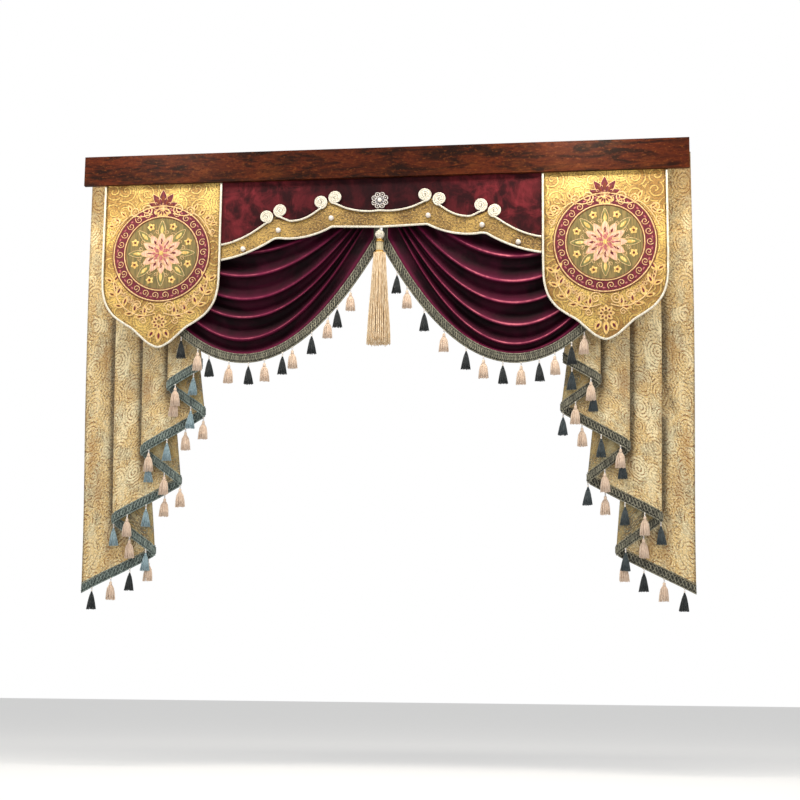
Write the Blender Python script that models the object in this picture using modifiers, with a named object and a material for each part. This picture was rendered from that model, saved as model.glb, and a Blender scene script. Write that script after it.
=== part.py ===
"""Window valance on its pelmet board: two swags, two pennants, a banded panel and two cascades.

Metres, +Z up. The origin is on the wall, at the middle of the top board's back edge.
The valance faces -Y. A drop is a distance below the fascia's bottom edge.
"""

import math

import bmesh
import bpy
from mathutils import Vector

SIDES = (("left", -1), ("right", 1))
WELD = 0.00001
SHARP_ANGLE = 50
SAMPLES = 400

# Pelmet board
WIDTH = 2.416
DEPTH = 0.210
BOARD = 0.018
FASCIA_HEIGHT = 0.120
FASCIA_BOTTOM = BOARD / 2 - FASCIA_HEIGHT
FASCIA_BACK = BOARD - DEPTH

# Cloth and the gaps between pieces
CLOTH = 0.002
GAP = 0.0003
SEAM_GAP = 0.0012
TOP_DROP = BOARD - FASCIA_HEIGHT + GAP
PENNANT_Y = FASCIA_BACK + GAP + CLOTH / 2
PANEL_Y = PENNANT_Y + CLOTH + GAP
FRONT_OF_PENNANT = PENNANT_Y - CLOTH / 2 - GAP

# Cord, scrolls and sewn trimmings
CORD = 0.0055
CORD_Y = FRONT_OF_PENNANT - CORD
SCROLL = 0.0295
SCROLL_THICKNESS = 0.010
SCROLL_SIDES = 16
CORD_TOP = 0.0009
CORD_CLEARANCE = 0.004
LOWER_CORD_CELLS = 36
CENTRE_CORD_CELLS = 4
MIDDLE_CORD_CELLS = 5
OUTER_CORD_CELLS = 6
PEARL = 0.010
BROOCH = 0.034
BROOCH_DROP = 0.092
BROOCH_PETALS = 8
BROOCH_LOBE = 0.13
BROOCH_PROFILE = (
    # forward, radius_share
    (0.000, 0.92),
    (0.005, 1.00),
    (0.010, 0.62),
    (0.012, 0.30),
)

# Pennants: half width at each drop
PENNANT_X = 0.881
PENNANT_CELLS = 3
PENNANT_OUTLINE = (
    # drop, half_width
    (TOP_DROP, 0.2415),
    (0.200, 0.2415),
    (0.380, 0.2410),
    (0.440, 0.2370),
    (0.494, 0.2210),
    (0.537, 0.1900),
    (0.567, 0.1500),
    (0.590, 0.1130),
    (0.617, 0.0830),
    (0.650, 0.0450),
    (0.664, 0.0190),
    (0.669, 0.0040),
)

# Gold band: the spans of its two edges from the middle to a pennant
BAND_END = PENNANT_X - PENNANT_OUTLINE[0][1] - GAP
UPPER_SPANS = (
    # start_x, end_x, start_drop, end_drop, sag
    (0.0, 0.207, 0.134, 0.088, 0.018),
    (0.207, 0.425, 0.088, 0.145, 0.046),
    (0.425, BAND_END, 0.145, 0.258, 0.021),
)
LOWER_SPANS = (
    # start_x, end_x, start_drop, end_drop, sag
    (0.0, 0.189, 0.201, 0.195, 0.0),
    (0.189, 0.415, 0.195, 0.234, 0.020),
    (0.415, BAND_END, 0.234, 0.320, 0.014),
)
BAND_CELL = 0.045
PANEL_CELLS = 12
PANEL_HALF_WIDTH = 0.700
PANEL_TUCK = 0.012
SCROLLS = (
    # x, drop, x where its cord meets the band's edge
    (0.178, 0.076, 0.150),
    (0.237, 0.094, 0.262),
    (0.399, 0.124, 0.380),
    (0.455, 0.148, 0.485),
)
PEARLS = (
    # x, drop
    (0.193, 0.160),
    (0.405, 0.204),
    (0.546, 0.277),
)

# Swags: one row for each crest, from the heading down to the hem
SWAG_X = 0.536
SWAG_FRONT = -0.1835
SWAG_END_FRONT = -0.160
SWAG_RELIEF = 0.036
SWAG_END_RELIEF = 0.012
SWAG_ARM = 0.86
BRAID_REACH = 0.91
SWAG_SEAM = 0.030
SWAG_COLUMNS = 16
UNDER = 0.22
SHOULDER = 0.60
UNDERCUT = 0.016
BRAID_FORWARD = 0.62
SWAG_CRESTS = (
    # left_drop, right_drop, half_width, end_drop
    (TOP_DROP, TOP_DROP, 0.270, TOP_DROP),
    (0.225, 0.245, 0.290, 0.160),
    (0.301, 0.336, 0.335, 0.180),
    (0.387, 0.436, 0.400, 0.184),
    (0.482, 0.526, 0.432, 0.186),
    (0.563, 0.610, 0.454, 0.187),
    (0.648, 0.678, 0.473, 0.188),
    (0.697, 0.713, 0.510, 0.235),
    (0.732, 0.749, 0.528, 0.275),
)
BRAID_ROW = len(SWAG_CRESTS) - 2

# Cascades: one row for each fold of the cloth, from the outer edge inwards
CASCADE_BACK = -0.034
PLEAT = 0.0170
SQUEEZE = 0.50
TURN = 0.010
ROLL = 0.0065
ROLL_WIDTH = 0.130
ROLL_FADE = 0.45
ROLL_END = 0.04
CASCADE_FOLDS = (
    # x, hem_drop
    (1.216, 1.628),
    (0.917, 1.480),
    (1.090, 1.355),
    (0.808, 1.205),
    (0.968, 1.085),
    (0.706, 0.935),
    (0.856, 0.830),
    (0.712, 0.745),
)
CASCADE_BRAID = 0.040
CASCADE_SWAY = 0.006
SWAY_WAVES = 2.6
SWAY_START = 1.0
CASCADE_CELLS = 5
CASCADE_ROWS = 4
LEAN = 0.030
LEAN_SHARE = 0.25

# Small tassels: beads, a head and a skirt of four locks
TASSEL_PROFILE = (
    # drop, radius
    (-0.007, 0.0045),
    (0.020, 0.0045),
    (0.030, 0.0095),
)
TASSEL_LENGTH = 0.088
TASSEL_SKIRT = 0.0240
TASSEL_FLATNESS = 0.34
TASSEL_LOCKS = 4
LOCK_FOOT = 0.8
SWAG_TASSELS = (
    # left_distance, right_distance
    (0.201, 0.118),
    (0.285, 0.192),
    (0.341, 0.307),
    (0.430, 0.422),
    (0.525, 0.534),
    (0.570, 0.611),
    (0.647, 0.689),
    (0.712, 0.760),
    (0.791, 0.831),
    (0.877, 0.895),
    (0.930, 0.971),
    (1.016, 1.034),
)
CASCADE_TASSELS = 22
CASCADE_TASSEL_START = 0.050
CASCADE_TASSEL_PITCH = 0.0845

# Centre tassel
CENTRE_Y = -0.1835
CENTRE_LOCKS = 20
CENTRE_PROFILE = (
    # drop, radius
    (TOP_DROP, 0.0018),
    (0.2115, 0.0018),
    (0.2150, 0.0120),
    (0.2220, 0.0185),
    (0.2330, 0.0195),
    (0.2430, 0.0150),
    (0.2480, 0.0110),
    (0.2560, 0.0150),
    (0.2990, 0.0155),
    (0.3060, 0.0210),
    (0.3140, 0.0240),
)
CENTRE_LENGTH = 0.672
CENTRE_SKIRT = 0.049


def start_collections():
    """Clear the scene and make one collection for the pieces and one for the cutters."""
    for old in list(bpy.data.objects):
        bpy.data.objects.remove(old)
    made = []
    for name in ("window_valance", "cutters"):
        collection = bpy.data.collections.new(name)
        bpy.context.scene.collection.children.link(collection)
        made.append(collection)
    return made


PIECES, CUTTERS = start_collections()


def finish(name, colour, roughness, metallic=0.0):
    """A plain Principled material."""
    material = bpy.data.materials.new(name)
    material.use_nodes = True
    shader = material.node_tree.nodes["Principled BSDF"]
    shader.inputs["Base Color"].default_value = (*colour, 1.0)
    shader.inputs["Roughness"].default_value = roughness
    shader.inputs["Metallic"].default_value = metallic
    return material


WOOD = finish("red_brown_board", (0.10, 0.02, 0.008), 0.45)
GOLD_CLOTH = finish("gold_jacquard", (0.60, 0.40, 0.12), 0.50)
BEIGE_CLOTH = finish("beige_scroll_jacquard", (0.50, 0.36, 0.15), 0.55)
PANEL_VELVET = finish("crushed_velvet", (0.13, 0.01, 0.02), 0.60)
SWAG_VELVET = finish("plum_velvet", (0.14, 0.015, 0.05), 0.55)
BRAID = finish("grey_green_braid", (0.11, 0.14, 0.12), 0.70)
WHITE_CORD = finish("white_cord", (0.80, 0.78, 0.70), 0.60)
PEARL_FINISH = finish("pearl", (0.85, 0.83, 0.78), 0.25)
SILVER = finish("silver_brooch", (0.75, 0.75, 0.78), 0.25, 1.0)
CREAM = finish("cream_chenille", (0.78, 0.58, 0.32), 0.75)


def height(drop):
    """The height of a drop below the fascia."""
    return FASCIA_BOTTOM - drop


def add_piece(name, mesh, material, collection=None):
    """Put a mesh in the scene as a named piece."""
    piece = bpy.data.objects.new(name, mesh)
    (collection or PIECES).objects.link(piece)
    mesh.materials.clear()
    mesh.materials.append(material)
    return piece


def add_form(name, form, material, collection=None, smooth=True):
    """Turn a bmesh into a named piece with its faces pointing out."""
    bmesh.ops.recalc_face_normals(form, faces=form.faces)
    mesh = bpy.data.meshes.new(name)
    form.to_mesh(mesh)
    form.free()
    if smooth:
        mesh.shade_smooth()
        mesh.set_sharp_from_angle(angle=math.radians(SHARP_ANGLE))
    return add_piece(name, mesh, material, collection)


def box(name, low, high, material):
    """A board between two corners."""
    form = bmesh.new()
    bmesh.ops.create_cube(form, size=1.0)
    for vert in form.verts:
        vert.co = Vector(low[i] + (vert.co[i] + 0.5) * (high[i] - low[i]) for i in range(3))
    return add_form(name, form, material, smooth=False)


def sheet(name, columns, rows, place, material):
    """A cloth on the surface place(u, v), as thick as the cloth."""
    form = bmesh.new()
    grid = [[form.verts.new(place(u, v)) for u in columns] for v in rows]
    for upper, lower in zip(grid, grid[1:]):
        for i in range(len(columns) - 1):
            form.faces.new((upper[i], upper[i + 1], lower[i + 1], lower[i]))
    mesh = bpy.data.meshes.new(name)
    form.to_mesh(mesh)
    form.free()
    mesh.shade_smooth()
    piece = add_piece(name, mesh, material)
    solidify = piece.modifiers.new("cloth", "SOLIDIFY")
    solidify.thickness = CLOTH
    solidify.offset = 0.0
    return piece


def steps(start, end, count):
    """Evenly spaced values from start to end."""
    return [start + (end - start) * i / count for i in range(count + 1)]


def cord(name, points, material):
    """A round cord through the points, as a curve object."""
    curve = bpy.data.curves.new(name, "CURVE")
    curve.dimensions = "3D"
    curve.bevel_depth = CORD
    curve.bevel_resolution = 1
    curve.use_fill_caps = True
    spline = curve.splines.new("POLY")
    spline.points.add(len(points) - 1)
    for point, place in zip(spline.points, points):
        point.co = (*place, 1.0)
    piece = bpy.data.objects.new(name, curve)
    PIECES.objects.link(piece)
    curve.materials.append(material)
    return piece


def as_mesh(piece, material):
    """Replace a curve object with its welded mesh."""
    graph = bpy.context.evaluated_depsgraph_get()
    mesh = bpy.data.meshes.new_from_object(piece.evaluated_get(graph))
    form = bmesh.new()
    form.from_mesh(mesh)
    bmesh.ops.remove_doubles(form, verts=form.verts, dist=WELD)
    name = piece.name
    place = piece.matrix_world.copy()
    bpy.data.objects.remove(piece)
    solid = add_form(name, form, material)
    solid.matrix_world = place
    return solid


def join_to(piece, cutter):
    """Unite a piece with a hidden form."""
    cutter.hide_render = True
    cutter.display_type = "WIRE"
    union = piece.modifiers.new("joined", "BOOLEAN")
    union.operation = "UNION"
    union.object = cutter


def span_drop(spans, x):
    """The drop of a band's edge at x from the middle."""
    distance = abs(x)
    for start_x, end_x, start_drop, end_drop, sag in spans:
        if distance <= end_x or end_x == BAND_END:
            t = (distance - start_x) / (end_x - start_x)
            return start_drop + (end_drop - start_drop) * t + 4 * sag * t * (1 - t)


def half_columns():
    """The places along half the band, with one on each cusp."""
    cusps = sorted({place for row in UPPER_SPANS + LOWER_SPANS for place in row[:2]})
    columns = [0.0]
    for start_x, end_x in zip(cusps, cusps[1:]):
        cells = max(1, round((end_x - start_x) / BAND_CELL))
        columns += steps(start_x, end_x, cells)[1:]
    return columns


def band_columns():
    """The places along the whole band."""
    half = half_columns()
    return [-x for x in reversed(half[1:])] + half


def make_boards():
    """The fascia and the top board that the cloth hangs from."""
    top = FASCIA_BOTTOM + FASCIA_HEIGHT
    half = WIDTH / 2
    box("fascia_board", (-half, -DEPTH, FASCIA_BOTTOM), (half, FASCIA_BACK, top), WOOD)
    box("top_board", (-half, FASCIA_BACK + GAP, top - BOARD), (half, 0.0, top), WOOD)


def make_panel_and_band():
    """The velvet panel and the gold band along its foot."""
    def panel(x, v):
        inside = max(-BAND_END, min(BAND_END, x))
        foot = span_drop(LOWER_SPANS, inside) - PANEL_TUCK
        return (x, PANEL_Y, height(TOP_DROP + (foot - TOP_DROP) * v))

    def band(x, v):
        upper = span_drop(UPPER_SPANS, x)
        lower = span_drop(LOWER_SPANS, x)
        return (x, PENNANT_Y, height(upper + (lower - upper) * v))

    columns = band_columns()
    feet = steps(-BAND_END, BAND_END, PANEL_CELLS)
    wide = [-PANEL_HALF_WIDTH] + feet + [PANEL_HALF_WIDTH]
    sheet("velvet_panel", wide, (0.0, 1.0), panel, PANEL_VELVET)
    sheet("gold_band", columns, (0.0, 1.0), band, GOLD_CLOTH)


def make_band_cords():
    """The lower cord, and five upper cords that end in scrolls."""
    end = BAND_END - CORD_CLEARANCE
    lower = [(x, CORD_Y, height(span_drop(LOWER_SPANS, x)))
             for x in steps(-end, end, LOWER_CORD_CELLS)]
    cord("band_cord_lower", lower, WHITE_CORD)

    rim = SCROLL - CORD
    inner, middle_in, middle_out, outer = SCROLLS

    def under(scroll, side):
        return (side * scroll[0], CORD_Y, height(scroll[1] + rim))

    def edge(start_x, end_x, count, side):
        return [(side * x, CORD_Y, height(span_drop(UPPER_SPANS, x)))
                for x in steps(start_x, end_x, count)]

    centre = edge(inner[2], 0.0, CENTRE_CORD_CELLS, -1)
    centre += edge(0.0, inner[2], CENTRE_CORD_CELLS, 1)[1:]
    routes = [("scroll_cord_centre", [under(inner, -1)] + centre + [under(inner, 1)],
               ((inner, -1), (inner, 1)))]
    for word, side in SIDES:
        middle = edge(middle_in[2], middle_out[2], MIDDLE_CORD_CELLS, side)
        middle = [under(middle_in, side)] + middle + [under(middle_out, side)]
        routes.append(("scroll_cord_middle_" + word, middle,
                       ((middle_in, side), (middle_out, side))))
        outside = [under(outer, side)] + edge(outer[2], end, OUTER_CORD_CELLS, side)
        routes.append(("scroll_cord_outer_" + word, outside, ((outer, side),)))
    for name, points, scrolls in routes:
        piece = as_mesh(cord(name, points, WHITE_CORD), WHITE_CORD)
        for number, (scroll, side) in enumerate(scrolls):
            form = bmesh.new()
            bmesh.ops.create_cone(form, cap_ends=True, segments=SCROLL_SIDES, radius1=SCROLL,
                                  radius2=SCROLL, depth=SCROLL_THICKNESS)
            for vert in form.verts:
                x, z, y = vert.co
                vert.co = (side * scroll[0] + x, CORD_Y + y, height(scroll[1]) + z)
            disc = add_form("%s_disc_%d" % (name, number), form, WHITE_CORD, CUTTERS)
            join_to(piece, disc)


def make_pearls_and_brooch():
    """Six pearls on the band and the flower brooch on the velvet."""
    for word, side in SIDES:
        for number, (x, drop) in enumerate(PEARLS):
            form = bmesh.new()
            bmesh.ops.create_uvsphere(form, u_segments=8, v_segments=5, radius=PEARL)
            middle = Vector((side * x, FRONT_OF_PENNANT - PEARL, height(drop)))
            bmesh.ops.translate(form, verts=form.verts, vec=middle)
            add_form("pearl_%s_%d" % (word, number + 1), form, PEARL_FINISH)
    back = PANEL_Y - CLOTH / 2 - GAP
    around = BROOCH_PETALS * 3
    form = bmesh.new()
    rings = []
    for forward, share in BROOCH_PROFILE:
        ring = []
        for i in range(around):
            angle = 2 * math.pi * i / around
            radius = BROOCH / 2 * share * (1 + BROOCH_LOBE * math.cos(BROOCH_PETALS * angle))
            ring.append(form.verts.new((radius * math.cos(angle), back - forward,
                                        height(BROOCH_DROP) + radius * math.sin(angle))))
        rings.append(ring)
    bridge(form, rings)
    form.faces.new(rings[0])
    form.faces.new(rings[-1])
    add_form("flower_brooch", form, SILVER)


def bridge(form, rings):
    """Side faces between rings of the same count."""
    for ring, following in zip(rings, rings[1:]):
        count = len(ring)
        for i in range(count):
            j = (i + 1) % count
            form.faces.new((ring[i], ring[j], following[j], following[i]))


def pennant_half_width(drop):
    """The pennant's half width at a drop."""
    for (above, wide), (below, narrow) in zip(PENNANT_OUTLINE, PENNANT_OUTLINE[1:]):
        if drop <= below:
            return wide + (narrow - wide) * (drop - above) / (below - above)
    return PENNANT_OUTLINE[-1][1]


def make_pennants():
    """Two pennants and the cord round each one's edge."""
    for word, side in SIDES:
        def pennant(u, drop, side=side):
            x = PENNANT_X + pennant_half_width(drop) * u
            return (side * x, PENNANT_Y, height(drop))

        drops = [row[0] for row in PENNANT_OUTLINE]
        sheet("pennant_" + word, steps(-1.0, 1.0, PENNANT_CELLS), drops, pennant, GOLD_CLOTH)
        below = [row for row in PENNANT_OUTLINE if row[0] > 0.0 and row[1] > CORD]
        down = [(PENNANT_X - wide + CORD / 2, drop) for drop, wide in below]
        up = [(PENNANT_X + wide - CORD / 2, drop) for drop, wide in reversed(below)]
        start = (down[0][0], CORD_TOP)
        tip = (PENNANT_X, PENNANT_OUTLINE[-1][0] - CORD / 2)
        route = [start] + down + [tip] + up + [(up[-1][0], CORD_TOP)]
        cord("pennant_cord_" + word, [(side * x, CORD_Y, height(drop)) for x, drop in route],
             WHITE_CORD)


def swag_profile(phase):
    """How far forward a fold lies, from 0 in the valley to 1 on the crest."""
    if phase < UNDER:
        return 0.5 + 0.5 * math.cos(math.pi * phase / UNDER)
    return 0.5 - 0.5 * math.cos(math.pi * (phase - UNDER) / (1 - UNDER))


def swag_point(side, u, v):
    """A point of a swag. u runs from end to end, -1 to 1, and v counts the crests."""
    last = len(SWAG_CRESTS) - 1
    row = min(int(v), last - 1)
    phase = v - row
    column = 0 if side < 0 else 1
    above, below = SWAG_CRESTS[row], SWAG_CRESTS[row + 1]
    drop = above[column] + (below[column] - above[column]) * phase
    wide = above[2] + (below[2] - above[2]) * phase
    end = above[3] + (below[3] - above[3]) * phase
    s = max(-1.0, min(1.0, u / SWAG_ARM))
    fullness = 1 - s * s
    if row >= BRAID_ROW - 1:
        forward = BRAID_FORWARD
        if row < BRAID_ROW:
            forward *= swag_profile(v - BRAID_ROW + 1)
        fold = 0.0 if row == BRAID_ROW else fullness
    else:
        forward = swag_profile(phase)
        fold = fullness
    tuck = UNDERCUT * math.sin(math.pi * phase / UNDER) * fold if phase < UNDER else 0.0
    place = end + (drop - end) * fullness - tuck
    if abs(u) > SWAG_ARM:
        rise = (abs(u) - SWAG_ARM) / (1 - SWAG_ARM)
        place = end + (TOP_DROP - end) * rise
    front = SWAG_END_FRONT + (SWAG_FRONT - SWAG_END_FRONT) * math.sqrt(fullness)
    relief = SWAG_END_RELIEF + (SWAG_RELIEF - SWAG_END_RELIEF) * fullness
    x = SWAG_X + wide * s
    return (side * x, front + relief * (1 - forward), height(place))


def along(curve, distances):
    """Points at growing distances along curve(t), t from 0 to 1."""
    samples = [Vector(curve(t)) for t in steps(0.0, 1.0, SAMPLES)]
    made = []
    travelled = 0.0
    for before, after in zip(samples, samples[1:]):
        length = (after - before).length
        while len(made) < len(distances) and travelled + length >= distances[len(made)]:
            made.append(before.lerp(after, (distances[len(made)] - travelled) / length))
        travelled += length
    return made


def tufts(form, middle, profile, length, skirt, count, flatness, turn):
    """A turned head whose foot is split into locks that stand apart."""
    def ring(drop, radius):
        return [(radius * math.cos(turn + 2 * math.pi * i / count),
                 radius * flatness * math.sin(turn + 2 * math.pi * i / count), -drop)
                for i in range(count)]

    def vert(place):
        return form.verts.new(Vector(place) + Vector(middle))

    rings = [[vert(place) for place in ring(*row)] for row in profile]
    form.faces.new(rings[0])
    bridge(form, rings)
    root = rings[-1]
    centre = vert((0.0, 0.0, -profile[-1][0]))
    foot = [Vector(place) for place in ring(length, skirt)]
    for i in range(count):
        j = (i + 1) % count
        corners = (foot[i], foot[j], Vector((0.0, 0.0, -length)))
        heart = sum(corners, Vector()) / 3
        tip = [vert(heart + (corner - heart) * LOCK_FOOT) for corner in corners]
        top = (root[i], root[j], centre)
        for a in range(3):
            b = (a + 1) % 3
            form.faces.new((top[a], top[b], tip[b], tip[a]))
        form.faces.new(tip)


def hang_tassels(strip, name, places):
    """Unite a braid strip with the small tassels that hang from it."""
    form = bmesh.new()
    for place in places:
        tufts(form, place, TASSEL_PROFILE, TASSEL_LENGTH, TASSEL_SKIRT, TASSEL_LOCKS,
              TASSEL_FLATNESS, math.pi / 4)
    join_to(strip, add_form(name + "_tassels", form, BRAID, CUTTERS))


def swag_rows():
    """The rows of a swag's cloth, close together under each crest."""
    rows = [0.0, SHOULDER]
    for crest in range(1, BRAID_ROW):
        rows += [crest + phase for phase in (0.0, UNDER / 2, UNDER, SHOULDER)]
    return rows + [float(BRAID_ROW)]


def make_swags():
    """Two velvet swags with a braid and tassels on the hem."""
    last = len(SWAG_CRESTS) - 1
    seam = BRAID_ROW + SWAG_SEAM
    for column, (word, side) in enumerate(SIDES):
        def swag(u, v, side=side):
            return swag_point(side, u, v)

        def braid(u, v, side=side):
            return swag_point(side, u, seam + (last - seam) * v)

        def hem(t, side=side):
            return swag_point(side, -SWAG_ARM + 2 * SWAG_ARM * t, float(last))

        columns = [-1.0] + steps(-SWAG_ARM, SWAG_ARM, SWAG_COLUMNS) + [1.0]
        sheet("swag_" + word, columns, swag_rows(), swag, SWAG_VELVET)
        name = "swag_fringe_" + word
        ends = [-BRAID_REACH] + steps(-SWAG_ARM, SWAG_ARM, SWAG_COLUMNS) + [BRAID_REACH]
        strip = sheet(name, ends, (0.0, 1.0), braid, BRAID)
        hang_tassels(strip, name, along(hem, [row[column] for row in SWAG_TASSELS]))


def cascade_plan():
    """The cloth's route seen from above: points of x, y, hem drop and share of the lean."""
    route = []
    last = len(CASCADE_FOLDS) - 2
    for layer in range(last + 1):
        (start_x, start_drop), (end_x, end_drop) = CASCADE_FOLDS[layer:layer + 2]
        y = CASCADE_BACK - layer * PLEAT
        way = 1 if end_x > start_x else -1
        inner = 0.0 if end_x > start_x else 1.0
        start = start_x + (way * TURN if layer else 0.0)
        end = end_x - (way * TURN if layer < last else 0.0)
        for t in steps(0.0, 1.0, CASCADE_CELLS):
            x = start + (end - start) * t
            reach = abs(x - start_x)
            roll = 0.0
            if layer % 2 == 0:
                fade = 1.0 if reach < ROLL_WIDTH else ROLL_FADE
                roll = -ROLL * fade * math.sin(math.pi * reach / ROLL_WIDTH)
                roll *= min(1.0, abs(end_x - x) / ROLL_END)
            drop = start_drop + (end_drop - start_drop) * abs(x - start_x) / abs(end_x - start_x)
            lean = inner * t + (1 - inner) * (1 - t)
            route.append((x, y + roll, drop, lean))
        if layer < last:
            for angle in (30, 90, 150):
                turn = math.radians(angle)
                route.append((end + way * TURN * math.sin(turn),
                              y - PLEAT / 2 * (1 - math.cos(turn)), end_drop, inner))
    return route


def cascade_point(side, route, u, drop_share, above_hem):
    """A point of a cascade at place u of its route and a share of its own drop."""
    i = min(int(u), len(route) - 2)
    t = u - i
    x, y, hem, lean = (a + (b - a) * t for a, b in zip(route[i], route[i + 1]))
    drop = TOP_DROP + (hem - above_hem - TOP_DROP) * drop_share
    front = CASCADE_BACK - (len(CASCADE_FOLDS) - 2) * PLEAT
    y = front + (y - front) * (SQUEEZE + (1 - SQUEEZE) * drop_share)
    sway = CASCADE_SWAY * math.sin(SWAY_WAVES * drop + SWAY_START) * max(0.0, drop)
    sway += LEAN * lean * min(1.0, (1 - drop_share) / LEAN_SHARE)
    return (side * (x + sway), y, height(drop))


def make_cascades():
    """Two cascades of back-and-forth folds with a slanting, fringed hem."""
    route = cascade_plan()
    columns = [float(i) for i in range(len(route))]
    for word, side in SIDES:
        def cloth(u, v, side=side):
            return cascade_point(side, route, u, v, CASCADE_BRAID)

        def braid(u, v, side=side):
            return cascade_point(side, route, u, 1.0, (CASCADE_BRAID - SEAM_GAP) * (1 - v))

        def hem(t, side=side):
            return cascade_point(side, route, t * (len(route) - 1), 1.0, 0.0)

        sheet("cascade_" + word, columns, steps(0.0, 1.0, CASCADE_ROWS), cloth, BEIGE_CLOTH)
        name = "cascade_fringe_" + word
        strip = sheet(name, columns, (0.0, 1.0), braid, BRAID)
        distances = [CASCADE_TASSEL_START + CASCADE_TASSEL_PITCH * i for i in range(CASCADE_TASSELS)]
        hang_tassels(strip, name, along(hem, distances))


def make_centre_tassel():
    """The long tassel that hangs between the swags."""
    form = bmesh.new()
    tufts(form, (0.0, CENTRE_Y, FASCIA_BOTTOM), CENTRE_PROFILE, CENTRE_LENGTH, CENTRE_SKIRT,
          CENTRE_LOCKS, 1.0, 0.0)
    add_form("centre_tassel", form, CREAM)


make_boards()
make_panel_and_band()
make_band_cords()
make_pearls_and_brooch()
make_pennants()
make_swags()
make_cascades()
make_centre_tassel()
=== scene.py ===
"""Window valance on its pelmet board: cloth, cords, braid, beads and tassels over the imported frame."""
import math
import random

import bmesh
import bpy
from mathutils import Matrix, Vector


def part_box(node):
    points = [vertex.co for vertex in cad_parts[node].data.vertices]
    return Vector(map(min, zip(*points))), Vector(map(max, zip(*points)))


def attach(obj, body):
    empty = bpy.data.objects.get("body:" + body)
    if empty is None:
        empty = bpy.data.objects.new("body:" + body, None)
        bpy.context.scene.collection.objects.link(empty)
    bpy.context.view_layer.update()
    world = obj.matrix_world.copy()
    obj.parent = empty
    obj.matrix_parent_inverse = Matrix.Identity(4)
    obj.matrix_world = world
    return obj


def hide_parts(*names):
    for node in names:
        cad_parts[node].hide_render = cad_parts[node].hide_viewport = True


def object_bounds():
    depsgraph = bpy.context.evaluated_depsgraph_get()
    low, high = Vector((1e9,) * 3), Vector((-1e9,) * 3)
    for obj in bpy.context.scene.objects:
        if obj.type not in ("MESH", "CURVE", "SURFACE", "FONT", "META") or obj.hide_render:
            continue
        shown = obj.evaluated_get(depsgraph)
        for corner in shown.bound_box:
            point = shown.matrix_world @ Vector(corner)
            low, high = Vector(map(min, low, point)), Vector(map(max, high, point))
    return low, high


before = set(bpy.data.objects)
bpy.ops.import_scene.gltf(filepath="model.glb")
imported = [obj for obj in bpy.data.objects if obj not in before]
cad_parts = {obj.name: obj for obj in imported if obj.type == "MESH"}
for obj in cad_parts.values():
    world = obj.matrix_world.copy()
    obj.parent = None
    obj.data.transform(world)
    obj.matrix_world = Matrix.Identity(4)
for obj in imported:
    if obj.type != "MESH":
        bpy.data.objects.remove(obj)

CAD_LOW, CAD_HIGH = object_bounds()
SIDES = (("left", -1), ("right", 1))

# Driving sizes, as in the frame
BOARD = 0.018  # thickness
FASCIA_HEIGHT = 0.120
FASCIA_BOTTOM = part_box("fascia_board")[0].z
FASCIA_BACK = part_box("fascia_board")[1].y
GAP = 0.0003  # air between pieces that touch
CLOTH = 0.002  # thickness in the frame
TOP_DROP = BOARD - FASCIA_HEIGHT + GAP  # the cloth's top edge; drops count from the fascia's foot
PENNANT_Y = FASCIA_BACK + GAP + CLOTH / 2  # the pennants' and the band's middle plane
PANEL_Y = PENNANT_Y + CLOTH + GAP
FACE_Y = PENNANT_Y - CLOTH / 2
CORD = 0.0055  # radius
CORD_Y = FACE_Y - GAP - CORD
SCROLL = 0.0295  # radius
PEARL = 0.010  # radius
BROOCH_DROP = 0.092

PENNANT_X = 0.881
PENNANT_OUTLINE = (
    # drop, half_width
    (TOP_DROP, 0.2415),
    (0.200, 0.2415),
    (0.380, 0.2410),
    (0.440, 0.2370),
    (0.494, 0.2210),
    (0.537, 0.1900),
    (0.567, 0.1500),
    (0.590, 0.1130),
    (0.617, 0.0830),
    (0.650, 0.0450),
    (0.664, 0.0190),
    (0.669, 0.0040),
)
BAND_END = PENNANT_X - PENNANT_OUTLINE[0][1] - GAP
UPPER_SPANS = (
    # start_x, end_x, start_drop, end_drop, sag
    (0.0, 0.207, 0.134, 0.088, 0.018),
    (0.207, 0.425, 0.088, 0.145, 0.046),
    (0.425, BAND_END, 0.145, 0.258, 0.021),
)
LOWER_SPANS = (
    # start_x, end_x, start_drop, end_drop, sag
    (0.0, 0.189, 0.201, 0.195, 0.0),
    (0.189, 0.415, 0.195, 0.234, 0.020),
    (0.415, BAND_END, 0.234, 0.320, 0.014),
)
PANEL_HALF_WIDTH = 0.700
PANEL_TUCK = 0.012
SCROLLS = (
    # x, drop
    (0.178, 0.076), (0.237, 0.094), (0.399, 0.124), (0.455, 0.148),
)
PEARLS = (
    # x, drop
    (0.193, 0.160), (0.405, 0.204), (0.546, 0.277),
)

SWAG_X = 0.536
SWAG_FRONT = -0.1835
SWAG_END_FRONT = -0.160
SWAG_RELIEF = 0.036
SWAG_END_RELIEF = 0.012
SWAG_ARM = 0.86
BRAID_REACH = 0.91
UNDER = 0.22
UNDERCUT = 0.016
BRAID_FORWARD = 0.62
SWAG_CRESTS = (
    # left_drop, right_drop, half_width, end_drop
    (TOP_DROP, TOP_DROP, 0.270, TOP_DROP),
    (0.225, 0.245, 0.290, 0.160),
    (0.301, 0.336, 0.335, 0.180),
    (0.387, 0.436, 0.400, 0.184),
    (0.482, 0.526, 0.432, 0.186),
    (0.563, 0.610, 0.454, 0.187),
    (0.648, 0.678, 0.473, 0.188),
    (0.697, 0.713, 0.510, 0.235),
    (0.732, 0.749, 0.528, 0.275),
)
HEM_ROW = len(SWAG_CRESTS) - 1
BRAID_ROW = HEM_ROW - 1

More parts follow.
